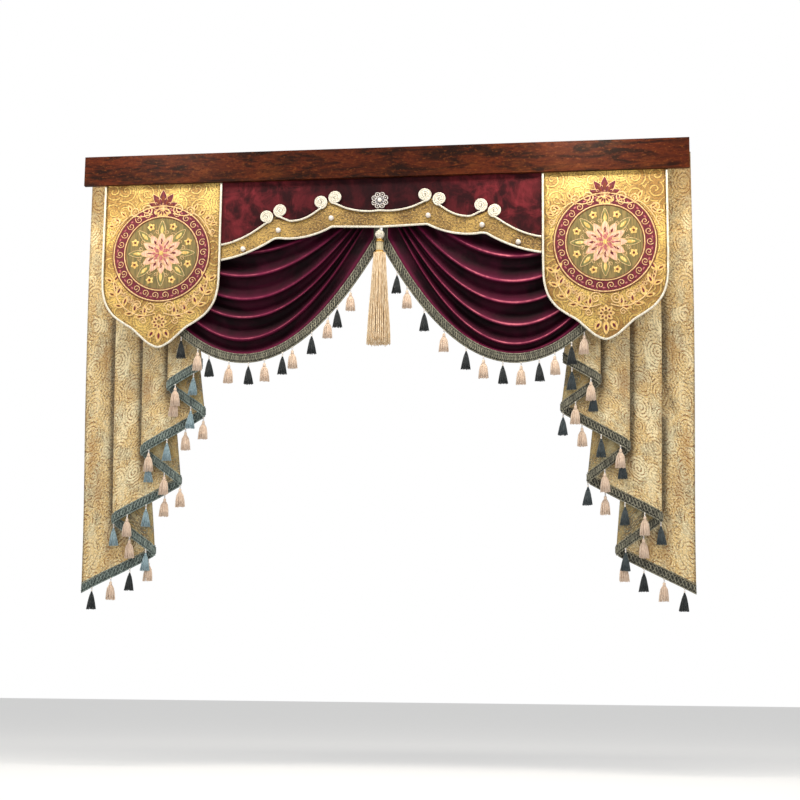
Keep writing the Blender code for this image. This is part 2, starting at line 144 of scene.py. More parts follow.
CASCADE_BACK = -0.034
PLEAT = 0.0170
SQUEEZE = 0.50
TURN = 0.010
ROLL = 0.0065
ROLL_WIDTH = 0.130
ROLL_FADE = 0.45
ROLL_END = 0.04
CASCADE_FOLDS = (
    # x, hem_drop
    (1.216, 1.628),
    (0.917, 1.480),
    (1.090, 1.355),
    (0.808, 1.205),
    (0.968, 1.085),
    (0.706, 0.935),
    (0.856, 0.830),
    (0.712, 0.745),
)
CASCADE_BRAID = 0.040
CASCADE_SWAY = 0.006
SWAY_WAVES = 2.6
SWAY_START = 1.0
LEAN = 0.030
LEAN_SHARE = 0.25

TASSEL_LENGTH = 0.088
SWAG_TASSELS = {
    # distances along the hem
    "left": (0.201, 0.285, 0.341, 0.430, 0.525, 0.570, 0.647, 0.712, 0.791, 0.877, 0.930, 1.016),
    "right": (0.118, 0.192, 0.307, 0.422, 0.534, 0.611, 0.689, 0.760, 0.831, 0.895, 0.971, 1.034),
}
CASCADE_TASSELS = 22
CASCADE_TASSEL_START = 0.050
CASCADE_TASSEL_PITCH = 0.0845
CENTRE_Y = -0.1835
CENTRE_LENGTH = 0.672

# Cloth, cords and beads as dressed
SHEET = 0.0014  # thickness of a dressed cloth
LAID = 0.84  # a rope's body, as a share of its cord's radius
STRANDS = 3
STRAND_DEPTH = 0.22
CORD_TUCK = 0.004  # how far a cord's end stays inside the cloth's edge
CORD_END = BAND_END - CORD_TUCK
CORD_STEP = 0.0035
CORD_LAY = 0.030  # length of one turn of the strands
CORD_LEAVES = (
    # x where an upper cord leaves each scroll for the band's edge
    0.138, 0.272, 0.362, 0.495,
)
SCROLL_RIM = SCROLL - CORD * 0.72
SCROLL_TURNS = 3.1
SCROLL_EYE = 0.003
SCROLL_KNOT = 0.0045
BAND_COLUMNS = (
    # end_x, columns of cloth up to it
    (0.189, 18), (0.207, 3), (0.415, 22), (0.425, 2), (BAND_END, 22),
)
PENNANT_STRAIGHT = 0.380  # drop at which a pennant's sides begin to turn in
CUP_RADIUS = 0.0092
CUP_BACK = 0.0055
CUP_BEAD = 0.0017
BROOCH_RINGS = (
    # beads, radius, bead radius, material
    (8, 0.0250, 0.0030, 0), (16, 0.0120, 0.0018, 1), (8, 0.0180, 0.0024, 1),
)
PETAL_REACH = 0.0245
PETAL_LENGTH = 0.0170
PETAL_WIDTH = 0.0176

# Folds as dressed, with the highlights and shadows painted on them
SWAG_CREASE = 0.0035
SWAG_DROOP = 0.0045
# Painted highlights on the swags: a glow up each fold and a bright line just above its crest
SWAG_GLOW = {
    # strength of the glow, share of a fold that stays dark
    "left": (0.36, 0.56),
    "right": (0.52, 0.45),
}
CREST_LIT = 0.0085  # how far the brightest line lies above a crest
CREST_FADE = 0.008
CREST_LINE = 0.0052
CREST_SHINE = 0.54
CASCADE_CREASE = 0.0030
CREASE_WIDTH = 0.010
CREASE_LENGTH = 0.16
CREASE_SLANT = 0.12
CREASE_STOP = 0.12  # share of the drop over which creases fade out above the hem
# Painted shadow along two slanting creases on the right cascade's outer face
PAINTED_CREASE_SHADOWS = (
    # start_x, start_drop, end_x, end_drop
    (1.073, 0.776, 1.147, 0.953),
    (1.073, 1.283, 1.139, 1.394),
)
CREASE_SHADOW_WIDTH = 0.016
# Painted shadow beside each fold: a dark narrow strip and a wider soft one
SHADOWS = (
    # depth, width
    (0.70, 0.010), (0.25, 0.032),
)

# Braid and tassels
BRAID_LIFTS = (0.0004, 0.0022, 0.0026, 0.0022, 0.0004)
RAIL = 0.0026
RAIL_PLACES = (0.04, 0.96)
ZIGZAG = 0.0019
ZIGZAG_LIFT = 0.0030
ZIGZAG_REACH = 0.32
ZIGZAG_STEPS = 3
SKIRT_STRANDS = 34
SKIRT_TOP = 0.0062
SKIRT_FLARE = 0.0128
SKIRT_RADII = (0.0014, 0.0021, 0.0023, 0.0015)
TASSEL_NECK = 0.028
TASSEL_BEADS = (
    # drop, radius, material
    (0.0015, 0.0036, 2), (0.0075, 0.0030, 3), (0.0130, 0.0036, 2),
)
TASSEL_HEADS = {
    # rows of drop and radius, power of the skirt's swell
    "bottle": (((0.0155, 0.0050), (0.0195, 0.0060), (0.0235, 0.0056), (0.0280, 0.0064)), 0.42),
    "cone": (((0.0155, 0.0022), (0.0195, 0.0040), (0.0235, 0.0054), (0.0280, 0.0066)), 0.95),
}
CENTRE_NECK = 0.303
CENTRE_STRANDS = 96
CENTRE_SKIRT = 0.0215
CENTRE_FLARE = 0.0245
CENTRE_YARN = 0.0030
CENTRE_BINDINGS = (
    # drop, radius
    (0.250, 0.0118), (0.2565, 0.0138), (0.297, 0.0160), (0.3035, 0.0200),
)
CENTRE_HEAD = (
    # drop, radius
    (0.252, 0.0100), (0.258, 0.0125), (0.264, 0.0135), (0.292, 0.0138), (0.300, 0.0170),
    (0.306, 0.0205), (0.312, 0.0215),
)

# A fringe's yarns, by their places in its list of materials
BLACK, BEIGE, TEAL, SLATE = 4, 5, 6, 7
LEFT_YARNS = (BLACK, BEIGE, BLACK, BEIGE, TEAL, BEIGE, TEAL, BEIGE, TEAL, BEIGE, BEIGE,
              BEIGE, TEAL, BEIGE, TEAL, BEIGE, BEIGE, TEAL, BEIGE, BEIGE, TEAL, BEIGE)
RIGHT_YARNS = (BLACK, BEIGE) * 2 + (SLATE, BEIGE) * 9

# Room, lamps and camera
FLOOR_DROP = 0.62
ROOM_LIGHT = 0.37
LAMPS = (
    # name, place, aim, size, power, tint
    ("top_front", (0.0, -1.3, 1.2), (0.0, -0.15, -0.7), (2.8, 0.5), 50.0, (1.0, 0.95, 0.87)),
    ("left_fill", (-3.0, -3.2, 0.2), (0.0, -0.1, -0.8), (1.8, 1.8), 44.0, (1.0, 0.98, 0.96)),
    ("right_fill", (3.0, -3.2, -0.2), (0.0, -0.1, -0.8), (1.8, 1.8), 44.0, (1.0, 0.98, 0.96)),
    ("left_glow", (-0.95, -0.55, 0.20), (-0.92, -0.19, -0.16), (0.3, 0.1), 2.2, (1.0, 0.93, 0.75)),
    ("right_glow", (0.78, -0.55, 0.20), (0.80, -0.19, -0.16), (0.3, 0.1), 3.4, (1.0, 0.93, 0.75)),
    ("left_edge", (-1.34, -0.50, -0.32), (-1.17, -0.05, -0.16), (0.15, 0.10), 1.1,
     (1.0, 0.84, 0.56)),
    ("right_edge", (1.34, -0.50, -0.32), (1.17, -0.05, -0.16), (0.15, 0.10), 1.1,
     (1.0, 0.84, 0.56)),
)
CAMERA_PLACE = (0.962, -6.488, FASCIA_BOTTOM - 1.985)
CAMERA_LENS = 75.2
CAMERA_TURNS = (7.9, 9.75, 0.59)  # round, up and tilt, in degrees

# The pennants' medallion: drops are the pennant's, distances out are from its middle line
MEDALLION_DROP = 0.285
MEDALLION_HOOPS = (
    # radius, colour, width
    (0.1475, "rust", 0.0016), (0.1515, "gold", 0.0024), (0.1955, "gold", 0.0026),
    (0.2000, "rust", 0.0016),
)
ROSETTE = (
    # petals, length, width, colour, rim, lift, start, root
    (12, 0.052, 0.030, "petal", "gold", 0.0014, 0.0, 0.034),
    (12, 0.026, 0.010, "wine", None, 0.0032, 0.0, 0.036),
    (9, 0.044, 0.028, "petal", "gold", 0.0030, 0.2, 0.016),
    (9, 0.020, 0.009, "rose", None, 0.0046, 0.2, 0.020),
    (6, 0.030, 0.020, "rose", "gold", 0.0042, 0.0, 0.004),
    (8, 0.010, 0.007, "straw", None, 0.0060, 0.0, 0.0),
)
PALMETTE = (
    # length, width of its leaves, from the middle one out
    (0.076, 0.034), (0.072, 0.030), (0.064, 0.026),
)
FOOT_FLOWER = (
    # petals, length, width, colour, rim, lift, start, root
    (8, 0.026, 0.017, "straw", "gold", 0.0010, 0.0, 0.008),
    (8, 0.012, 0.007, "wine", None, 0.0026, 0.0, 0.013),
)
CURLS = (
    # distance out, drop, radius, hand, start, turns, width
    (0.066, 0.104, 0.024, 1, math.pi / 2, 1.7, 0.0026),
    (0.112, 0.112, 0.020, -1, math.pi / 2, 1.6, 0.0024),
    (0.196, 0.150, 0.022, 1, math.pi / 2, 1.6, 0.0024),
    (0.205, 0.200, 0.014, -1, 0.0, 1.4, 0.0020),
    (0.040, 0.505, 0.024, 1, 0.0, 1.7, 0.0026),
    (0.092, 0.494, 0.018, -1, 0.0, 1.6, 0.0022),
    (0.066, 0.560, 0.015, -1, 0.0, 1.5, 0.0022),
)
TOP_STEM = (
    # distance out, drop
    (0.042, 0.122), (0.090, 0.132), (0.132, 0.126), (0.176, 0.168), (0.208, 0.222),
)
GARLAND = (
    # distance out, drop
    (0.018, 0.530), (0.060, 0.540), (0.105, 0.530), (0.150, 0.500), (0.180, 0.455), (0.194, 0.400),
)


# Shader writing

class Wire:
    """A value or colour socket in a material, with the arithmetic that the finishes use."""

    def __init__(self, cloth, socket):
        self.cloth = cloth
        self.socket = socket

    def _math(self, operation, *values):
        return self.cloth.node("ShaderNodeMath", {"operation": operation}, *values)

    def __add__(self, other):
        return self._math("ADD", self, other)

    __radd__ = __add__

    def __sub__(self, other):
        return self._math("SUBTRACT", self, other)

    def __rsub__(self, other):
        return self._math("SUBTRACT", other, self)

    def __mul__(self, other):
        return self._math("MULTIPLY", self, other)

    __rmul__ = __mul__

    def sin(self):
        return self._math("SINE", self)

    def sign(self):
        return self._math("SIGN", self)

    def abs(self):
        return self._math("ABSOLUTE", self)

    def step(self, low, high):
        """0 below low, 1 above high, with a soft edge between."""
        return self.cloth.node("ShaderNodeMapRange", {"interpolation_type": "SMOOTHSTEP"},
                               self, low, high, 0.0, 1.0)


class Finish:
    """The nodes of a material, or of the studio's world."""

    def __init__(self, owner):
        owner.use_nodes = True
        self.owner = owner
        self.tree = owner.node_tree

    def node(self, kind, settings, *values, out=0, **named):
        """Add a node: its settings first, then its sockets in order or by name."""
        made = self.tree.nodes.new(kind)
        for key, value in settings.items():
            setattr(made, key, value)
        sockets = list(enumerate(values))
        sockets += [(key.replace("_", " "), value) for key, value in named.items()]
        for place, value in sockets:
            if value is not None:
                self.feed(made.inputs[place], value)
        wires = [Wire(self, socket) for socket in made.outputs]
        return wires[out] if isinstance(out, int) else [wires[number] for number in out]

    def feed(self, socket, value):
        """Link a wire to a socket, or set the socket's own value. Text is a colour's hex digits."""
        if isinstance(value, Wire):
            self.tree.links.new(value.socket, socket)
        elif isinstance(value, str):
            socket.default_value = rgba(value)
        else:
            socket.default_value = value

    def cloth_place(self):
        """The place on the cloth, in metres across and down."""
        return self.node("ShaderNodeUVMap", {"uv_map": "cloth"})

    def object_place(self):
        """The place in the object's own space."""
        return self.node("ShaderNodeTexCoord", {}, out=3)

    def crest(self):
        """What the cloth's own crest function says of the place."""
        # The cloth's crest attribute, which holds painted light and shade: highlights on the swags,
        # shadows on the cascades.
        return self.node("ShaderNodeAttribute", {"attribute_name": "crest"}, out=2)

    def vectors(self, operation, first, second=None, out=0):
        """Arithmetic on two vectors."""
        return self.node("ShaderNodeVectorMath", {"operation": operation}, first, second, out=out)

    def parts(self, vector):
        """The three numbers of a vector."""
        return self.node("ShaderNodeSeparateXYZ", {}, vector, out=(0, 1, 2))

    def noise(self, vector, scale, detail=3.0, roughness=0.55, out=0, distortion=0.0):
        """Cloudy noise."""
        return self.node("ShaderNodeTexNoise", {}, Vector=vector, Scale=scale, Detail=detail,
                         Roughness=roughness, Distortion=distortion, out=out)

    def grain(self, vector, spread, detail=3.0, roughness=0.55, distortion=0.0):
        """Noise with its own scale along each axis."""
        scaled = self.vectors("MULTIPLY", vector, (*spread, 1.0)[:3])
        return self.noise(scaled, 1.0, detail, roughness, distortion=distortion)

    def mix(self, share, first, second):
        """A colour between two colours."""
        return self.node("ShaderNodeMix", {"data_type": "RGBA"}, share, *[None] * 5, first, second,
                         out=2)

    def surface(self, colour, roughness, height=None, depth=0.001, strength=1.0, **constants):
        """Join the finish to the shader. Constants are set on the shader's own sockets."""
        sockets = {"Base Color": colour, "Roughness": roughness, **constants}
        if height is not None:
            sockets["Normal"] = self.node("ShaderNodeBump", {}, Height=height, Distance=depth,
                                          Strength=strength)
        for key, value in sockets.items():
            self.feed(self.tree.nodes["Principled BSDF"].inputs[key.replace("_", " ")], value)
        return self.owner


def rgba(text):
    """A colour from its hex digits, in linear light."""
    parts = [int(text[i:i + 2], 16) / 255 for i in (0, 2, 4)]
    return (*(c / 12.92 if c <= 0.04045 else ((c + 0.055) / 1.055) ** 2.4 for c in parts), 1.0)


def new_finish(name):
    """A material to work on."""
    return Finish(bpy.data.materials.new(name))


def scroll_lines(cloth, place, cell, turns, low, high):
    """Woven scrolls: in each cell of the repeat a spiral line winds out from the middle."""
    spread = cloth.vectors("MULTIPLY", place, (1 / cell, 1 / cell, 1.0))
    tint, middle = cloth.node("ShaderNodeTexVoronoi", {"voronoi_dimensions": "2D"}, Vector=spread,
                              Scale=1.0, Randomness=0.55, out=(1, 2))
    arm = cloth.vectors("SUBTRACT", spread, middle)
    x, y, _ = cloth.parts(arm)
    angle = cloth.node("ShaderNodeMath", {"operation": "ARCTAN2"}, y, x)
    length = cloth.vectors("LENGTH", arm, out=1)
    red, green, _ = cloth.parts(tint)
    phase = length * (turns * 2 * math.pi) - angle * (red - 0.5).sign() + green * (2 * math.pi)
    return phase.sin().step(low, high), length, green


def velvet(name, deep, bright, light, crush, scale, sheen, grain, middle=0.0):
    """Pile cloth: a random crush between deep and bright, with a painted glow and a painted highlight
    line where the crest attribute is high, and a sheen.
    """
    cloth = new_finish(name)
    place = cloth.cloth_place()
    big = cloth.noise(place, scale, 5.0, 0.6, distortion=0.6)
    fine = cloth.noise(place, scale * 9, 3.0, 0.6)
    # Painted highlight: the crest attribute lifts the colour toward bright up each fold
    painted_crest_light = cloth.crest()
    drawn = cloth.grain(place, grain, 4.0, 0.6).step(0.50, 0.70)
    share = (big.step(0.38, 0.68) * 0.8 + drawn * 0.35 + fine * 0.15) * crush + painted_crest_light * 0.85
    # Painted sheen: the cloth is darker in the middle and paler toward the sides
    if middle:
        x, _, _ = cloth.parts(place)
        share = share * (x.abs().step(middle * 0.4, middle) * 0.75 + 0.25)
    colour = cloth.mix(share, deep, bright)
    # Painted highlight line at each crest, broken into streaks, in the light colour
    streak = cloth.grain(place, (14.0, 5.0), 4.0).step(0.36, 0.62)
    painted_highlight = (painted_crest_light + fine * 0.3).step(0.78, 1.15) * (streak * 0.70 + 0.30)
    colour = cloth.mix(painted_highlight, colour, light)
    pile = cloth.noise(place, 900.0, 2.0)
    return cloth.surface(colour, 0.50 + fine * 0.25, big * 0.7 + pile * 0.06, 0.004, 0.7,
                         Sheen_Weight=sheen, Sheen_Roughness=0.30, Sheen_Tint=light,
                         Specular_IOR_Level=0.10)


def scroll_jacquard(name, ground, line, thread, shade, light, cell, shaded=True):
    """Scroll jacquard: spiral lines in two sizes on a ribbed ground."""
    cloth = new_finish(name)
    place = cloth.cloth_place()
    bend = cloth.vectors("SUBTRACT", cloth.noise(place, 9.0, 2.0, out=1), (0.5, 0.5, 0.5))
    bent = cloth.vectors("ADD", place, cloth.vectors("MULTIPLY", bend, (0.018, 0.018, 0.0)))
    large, reach, kind = scroll_lines(cloth, bent, cell, 9.0, 0.25, 0.92)
    small, _, other = scroll_lines(cloth, bent, cell * 0.42, 4.2, 0.25, 0.92)
    near = 1 - reach.step(0.42, 0.56)
    mask = large * near + small * (1 - near)
    x, y, _ = cloth.parts(place)
    weft = (y * 4200.0).sin() * 0.5 + 0.5
    warp = (x * 3400.0).sin() * 0.5 + 0.5
    patches = cloth.noise(place, 14.0, 3.0)
    colour = cloth.mix(patches.step(0.44, 0.66) * 0.8, ground, thread)
    colour = cloth.mix((other * kind).step(0.2, 0.7) * 0.5, colour, light)
    edge = (mask * (1 - mask)) * 4
    broken = cloth.noise(place, 38.0, 4.0).step(0.36, 0.60)
    colour = cloth.mix(mask * (broken * 0.85 + 0.15), colour, line)
    colour = cloth.mix(edge * broken * 0.45, colour, shade)
    fleck = cloth.grain(place, (190.0, 280.0))
    colour = cloth.mix(fleck.step(0.53, 0.64) * 0.85, colour, light)
    speck = cloth.grain(place, (120.0, 170.0), 4.0, 0.7)
    colour = cloth.mix(speck.step(0.53, 0.63) * 0.80, colour, shade)
    cloud = cloth.grain(place, (13.0, 4.5), 4.0, 0.6)
    colour = cloth.mix(cloud.step(0.50, 0.68) * 0.42, colour, line)
    colour = cloth.mix(cloud.step(0.46, 0.32) * 0.35, colour, light)
    # Painted shadow: where the crest attribute is high, the cloth darkens toward the shade colour beside
    # folds and in creases
    if shaded:
        dim = cloth.crest() * (speck.step(0.30, 0.62) * 0.35 + 0.55)
        colour = cloth.mix(dim, colour, shade)
    height = mask * 0.6 + weft * 0.12 + warp * 0.08 + edge * -0.3
    return cloth.surface(colour, 0.42 + (1 - mask) * 0.2, height, 0.0012, 0.8,
                         Sheen_Weight=0.15, Sheen_Roughness=0.4, Specular_IOR_Level=0.45)


def satin_jacquard(name, ground, bright, shade, cell, busy):
    """Bright jacquard with a tone-on-tone scroll and a fine rib."""
    cloth = new_finish(name)
    place = cloth.cloth_place()
    mask, _, _ = scroll_lines(cloth, place, cell, 3.4, 0.0, 0.8)
    _, y, _ = cloth.parts(place)
    rib = (y * 3600.0).sin() * 0.5 + 0.5
    slub = cloth.grain(place, (40.0, 420.0))
    patches = cloth.noise(place, 7.0, 4.0, 0.6)
    speck = cloth.grain(place, (120.0, 160.0), 4.0, 0.7)
    colour = cloth.mix(patches.step(0.38, 0.66), ground, bright)
    colour = cloth.mix(mask * 0.6, colour, bright)
    colour = cloth.mix(slub.step(0.52, 0.74) * 0.4, colour, shade)
    colour = cloth.mix(speck.step(0.50, 0.60) * busy, colour, shade)
    colour = cloth.mix((mask * (1 - mask)) * 3.6, colour, shade)
    height = mask * 0.5 + rib * 0.16 + slub * 0.2 + speck * 0.3
    return cloth.surface(colour, 0.32 + (1 - mask) * 0.16, height, 0.0014, 0.8,
                         Sheen_Weight=0.1, Specular_IOR_Level=0.5, Metallic=0.25)


def thread(name, colour, dark, rough=0.6, scale=700.0, gloss=0.3):
    """Yarn: streaks along the strands and a soft shine."""
    yarn = new_finish(name)
    place = yarn.object_place()
    streak = yarn.grain(place, (scale, scale, scale * 0.12))
    tone = yarn.noise(place, 35.0, 2.0)
    mixed = yarn.mix(streak.step(0.36, 0.66) * 0.75 + tone * 0.2, dark, colour)
    return yarn.surface(mixed, rough + streak * 0.2, streak, 0.0006, 0.6,
                        Sheen_Weight=0.25, Sheen_Roughness=0.4, Specular_IOR_Level=gloss)


def stained_wood():
    """Red-brown board: long dark figure and fine grain along the length."""
    wood = new_finish("stained_wood")
    place = wood.object_place()
    figure = wood.grain(place, (5.0, 30.0, 26.0), 7.0, 0.62, 1.4)
    cloud = wood.grain(place, (6.0, 9.0, 14.0), 4.0, 0.6)
    grain = wood.grain(place, (26.0, 500.0, 480.0), 4.0, 0.6)
    burl = wood.grain(place, (48.0, 110.0, 110.0), 5.0, 0.7)
    colour = wood.mix(figure.step(0.38, 0.62), "180702", "461a08")
    colour = wood.mix(cloud.step(0.52, 0.74) * 0.6, colour, "5e2e12")
    colour = wood.mix(burl.step(0.52, 0.66) * 0.75, colour, "1c0703")
    colour = wood.mix(burl.step(0.46, 0.34) * 0.55, colour, "6a3818")
    colour = wood.mix(grain.step(0.48, 0.70) * 0.5, colour, "180703")
    return wood.surface(colour, 0.34 + grain * 0.22, grain * 0.6 + figure * 0.4, 0.0008, 0.5,
                        Specular_IOR_Level=0.08, Coat_Roughness=0.3, Coat_Weight=0.02)


def pearl_finish():
    """Pearl: a soft cream body under a clear coat."""
    pearl = new_finish("pearl")
    tone = pearl.noise(pearl.object_place(), 260.0, 2.0)
    colour = pearl.mix(tone, "f4ead8", "cfc6c4")
    return pearl.surface(colour, 0.20 + tone * 0.1, tone, 0.0002, 0.3, Coat_Weight=0.8,
                         Coat_Roughness=0.06, Sheen_Weight=0.2)


def metal(name, bright, dark, rough):
    """Plated metal with a little tarnish."""
    plate = new_finish(name)
    tarnish = plate.noise(plate.object_place(), 420.0, 4.0)
    colour = plate.mix(tarnish.step(0.45, 0.7) * 0.6, bright, dark)
    return plate.surface(colour, rough + tarnish * 0.2, tarnish, 0.0002, 0.4, Metallic=1.0)


WOOD = stained_wood()
# Crushed velvet for the panel, with painted sheen: paler toward the sides than in the middle
PANEL_VELVET = velvet("crushed_velvet", "190307", "6e2027", "a04c50", 0.85, 13.0, 0.03,
                      (42.0, 12.0), 0.44)
# Plum velvet for the swags; its palest colour is the painted crest highlight and the sheen's tint
SWAG_VELVET = velvet("plum_velvet", "080103", "6c123a", "c86878", 0.22, 5.0, 0.02, (5.0, 34.0))
# Beige jacquard for the cascades' faces; its shade colour also paints their fold shadows
JACQUARD = scroll_jacquard("beige_scroll_jacquard", "d4b478", "925e1a", "b2a684", "2e2212",
                           "fbf0c6", 0.105)
REVERSE = scroll_jacquard("reverse_of_jacquard", "907f52", "b08a44", "323c44", "1a1a1a",
                          "c4b88e", 0.105, shaded=False)
GOLD = satin_jacquard("gold_jacquard", "926a2c", "d8b662", "3e2a0c", 0.075, 0.70)
BAND_GOLD = satin_jacquard("band_jacquard", "765620", "c09c50", "281a0a", 0.044, 0.85)
WHITE_CORD = thread("white_cord", "f3efe2", "b8af9a", 0.5, 500.0)
GREY_BRAID = (thread("grey_braid_ground", "424138", "181914", 0.6, 240.0),
              thread("grey_braid_zigzag", "a09c86", "48463b", 0.55, 240.0))
BLUE_BRAID = (thread("blue_braid_ground", "596560", "232b29", 0.6, 240.0),
              thread("blue_braid_zigzag", "99a69e", "47534f", 0.55, 240.0))
BLACK_YARN = thread("charcoal_yarn", "293032", "121617", 0.5)
BEIGE_YARN = thread("beige_yarn", "f3dfca", "c7aa92", 0.55)
TEAL_YARN = thread("teal_yarn", "b0c6ce", "5a747c", 0.5)
SLATE_YARN = thread("slate_yarn", "4c585c", "1a2124", 0.5)
CREAM_YARN = thread("cream_chenille", "f8e6c8", "bb9664", 0.65, 420.0)
NECK_YARN = thread("neck_yarn", "d2c6a6", "8c7d5c", 0.6, 420.0)
PEARL_WHITE = pearl_finish()
SILVER = metal("silver", "dcdce2", "6e6e78", 0.22)
GOLD_BEAD = metal("gilt_bead", "d8b066", "7a5a2a", 0.3)
EMBROIDERY = {
    "gold": thread("gold_thread", "f3d9a2", "b8864a", 0.40, 500.0, 0.5),
    "wine": thread("wine_thread", "7a1c32", "3e0a18", 0.5, 500.0),
    "bronze": thread("bronze_thread", "8a7444", "56502e", 0.45, 160.0),
    "moss": thread("moss_thread", "8e8650", "55532e", 0.5, 300.0),
    "petal": thread("petal_thread", "eac4a4", "c08a7c", 0.45, 300.0),
    "rose": thread("rose_thread", "c27a72", "8a3c48", 0.5, 500.0),
    "straw": thread("straw_thread", "f2d68a", "b88a3c", 0.42, 300.0),
    "rust": thread("rust_thread", "7e3418", "4a1a0c", 0.5, 500.0),
}


# Mesh building

def height(drop):
    """The height of a drop below the fascia."""
    return FASCIA_BOTTOM - drop


def steps(start, end, count):
    """Evenly spaced values from start to end."""
    return [start + (end - start) * i / count for i in range(count + 1)]


def settle(name, mesh, materials, nodes=()):
    """Put a mesh in the scene, let it ride, and hide the CAD nodes it stands for."""
    piece = bpy.data.objects.new(name, mesh)
    bpy.context.scene.collection.objects.link(piece)
    for material in materials:
        mesh.materials.append(material)
    mesh.shade_smooth()
    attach(piece, "root")
    if nodes:
        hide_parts(*nodes)
    return piece


def cloth_sheet(name, columns, rows, place, materials, node, crest=None, flat=False):
    """A cloth on the surface place(u, v). Its map is its own size in metres, or x and z if flat."""
    points = [[Vector(place(u, v)) for u in columns] for v in rows]
    form = bmesh.new()
    uv = form.loops.layers.uv.new("cloth")
    shade = form.verts.layers.float.new("crest")
    grid = []
    for v, line in zip(rows, points):
        grid.append([form.verts.new(point) for point in line])
        # The crest values are painted light and shade for the cloth's finish
        if crest:
            for u, vert in zip(columns, grid[-1]):
                vert[shade] = crest(u, v)
    across = running_length(points[len(rows) // 2])
    down = running_length([line[len(columns) // 2] for line in points])
    for r in range(len(rows) - 1):
        for c in range(len(columns) - 1):
            corners = ((r, c), (r, c + 1), (r + 1, c + 1), (r + 1, c))
            face = form.faces.new([grid[a][b] for a, b in corners])
            for loop, (a, b) in zip(face.loops, corners):
                loop[uv].uv = points[a][b].xz if flat else (across[b], -down[a])
    mesh = bpy.data.meshes.new(name)
    form.to_mesh(mesh)
    form.free()
    piece = settle(name, mesh, materials, [node])
    solidify = piece.modifiers.new("thickness", "SOLIDIFY")
    solidify.thickness = SHEET
    solidify.offset = 0.0
    solidify.use_even_offset = False
    if len(materials) > 1:
        solidify.material_offset = 1
    return piece


def running_length(points):
    """The distance of each point from the first, along the points."""
    made = [0.0]
    for before, after in zip(points, points[1:]):
        made.append(made[-1] + (after - before).length)
    return made


def frames_along(points):
    """A side and a rise vector at each point of a route, turned as little as possible."""
    made = []
    side = None
    for i, point in enumerate(points):
        ahead = points[min(i + 1, len(points) - 1)] - points[max(i - 1, 0)]
        ahead.normalize()
        if side is None:
            guess = Vector((0.0, -1.0, 0.0))
            if abs(ahead.dot(guess)) > 0.9:
                guess = Vector((1.0, 0.0, 0.0))
            side = guess
        side = (side - ahead * side.dot(ahead)).normalized()
        made.append((side.copy(), ahead.cross(side)))
    return made


def smooth_route(points, spacing):
    """Points at even steps on a smooth curve through the given points."""
    points = [Vector(p) for p in points]
    dense = []
    last = len(points) - 1
    for i in range(last):
        p0 = points[max(i - 1, 0)]
        p1, p2 = points[i], points[i + 1]
        p3 = points[min(i + 2, last)]
        cells = max(2, int((p2 - p1).length / spacing * 2))
        for k in range(cells):
            t = k / cells
            dense.append(0.5 * ((2 * p1) + (p2 - p0) * t + (2 * p0 - 5 * p1 + 4 * p2 - p3) * t * t
                                + (3 * p1 - p0 - 3 * p2 + p3) * t ** 3))
    dense.append(points[-1])
    even = [dense[0]]
    carry = 0.0
    for before, after in zip(dense, dense[1:]):
        length = (after - before).length
        while carry + length >= spacing:
            share = (spacing - carry) / length
            before = before.lerp(after, share)
            even.append(before)
            length = (after - before).length
            carry = 0.0
        carry += length
    if (even[-1] - dense[-1]).length > spacing * 0.3:
        even.append(dense[-1])
    return even


def angles(count, start=0.0):
    """Evenly spaced angles all round."""
    return [start + 2 * math.pi * i / count for i in range(count)]


class Builder:
    """Gathers the faces of a piece that is made of many small forms."""

    def __init__(self):
        self.form = bmesh.new()

    def verts(self, points):
        """A row of corners."""
        return [self.form.verts.new(point) for point in points]

    def face(self, corners, material):
        """A face of one of the piece's materials."""
        self.form.faces.new(corners).material_index = material

    def skin(self, rows, material=0, around=False):
        """Faces between rows of corners, closed around if asked."""
        for row, after in zip(rows, rows[1:]):
            for i in range(len(row) if around else len(row) - 1):
                j = (i + 1) % len(row)
                self.face((row[i], row[j], after[j], after[i]), material)

    def pipe(self, rings, material):
        """A skin all round the rings, with both ends capped."""
        self.skin(rings, material, True)
        self.face(rings[0], material)
        self.face(rings[-1], material)

    def tube(self, points, radii, sides, material=0, twist=0.0, lobes=0, depth=0.0):
        """A tube through the points. Lobes and twist make it a laid rope."""
        rings = []
        travelled = running_length(points)
        for i, (point, (side, rise)) in enumerate(zip(points, frames_along(points))):
            radius = radii[i] if isinstance(radii, (list, tuple)) else radii
            ring = []
            for angle in angles(sides):
                reach = radius
                if lobes:
                    turned = lobes / 2 * (angle - travelled[i] * twist)
                    reach *= 1 - depth + depth * abs(math.sin(turned))
                ring.append(point + side * (reach * math.cos(angle))
                            + rise * (reach * math.sin(angle)))
            rings.append(self.verts(ring))
        self.pipe(rings, material)

    def turned(self, middle, profile, sides, material=0, flat=1.0, ribs=0, rib=0.0):
        """A turned form: rows of drop and radius below a middle point."""
        rings = []
        for drop, radius in profile:
            ring = []
            for angle in angles(sides):
                reach = radius * (1 + rib * math.cos(ribs * angle))
                ring.append((middle[0] + reach * math.cos(angle),
                             middle[1] + flat * reach * math.sin(angle), middle[2] - drop))
            rings.append(self.verts(ring))
        self.pipe(rings, material)

    def bead(self, middle, radius, material=0, sides=10, rows=6):
        """A round bead."""
        profile = [(-radius * math.cos(angle), radius * math.sin(angle))
                   for angle in steps(math.pi * 0.04, math.pi * 0.96, rows)]
        self.turned(middle, profile, sides, material)

    def finish(self, name, materials, nodes=()):
        """Turn the gathered faces into the piece."""
        bmesh.ops.recalc_face_normals(self.form, faces=self.form.faces)
        mesh = bpy.data.meshes.new(name)
        self.form.to_mesh(mesh)
        self.form.free()
        return settle(name, mesh, materials, nodes)


# Surfaces, as in the frame

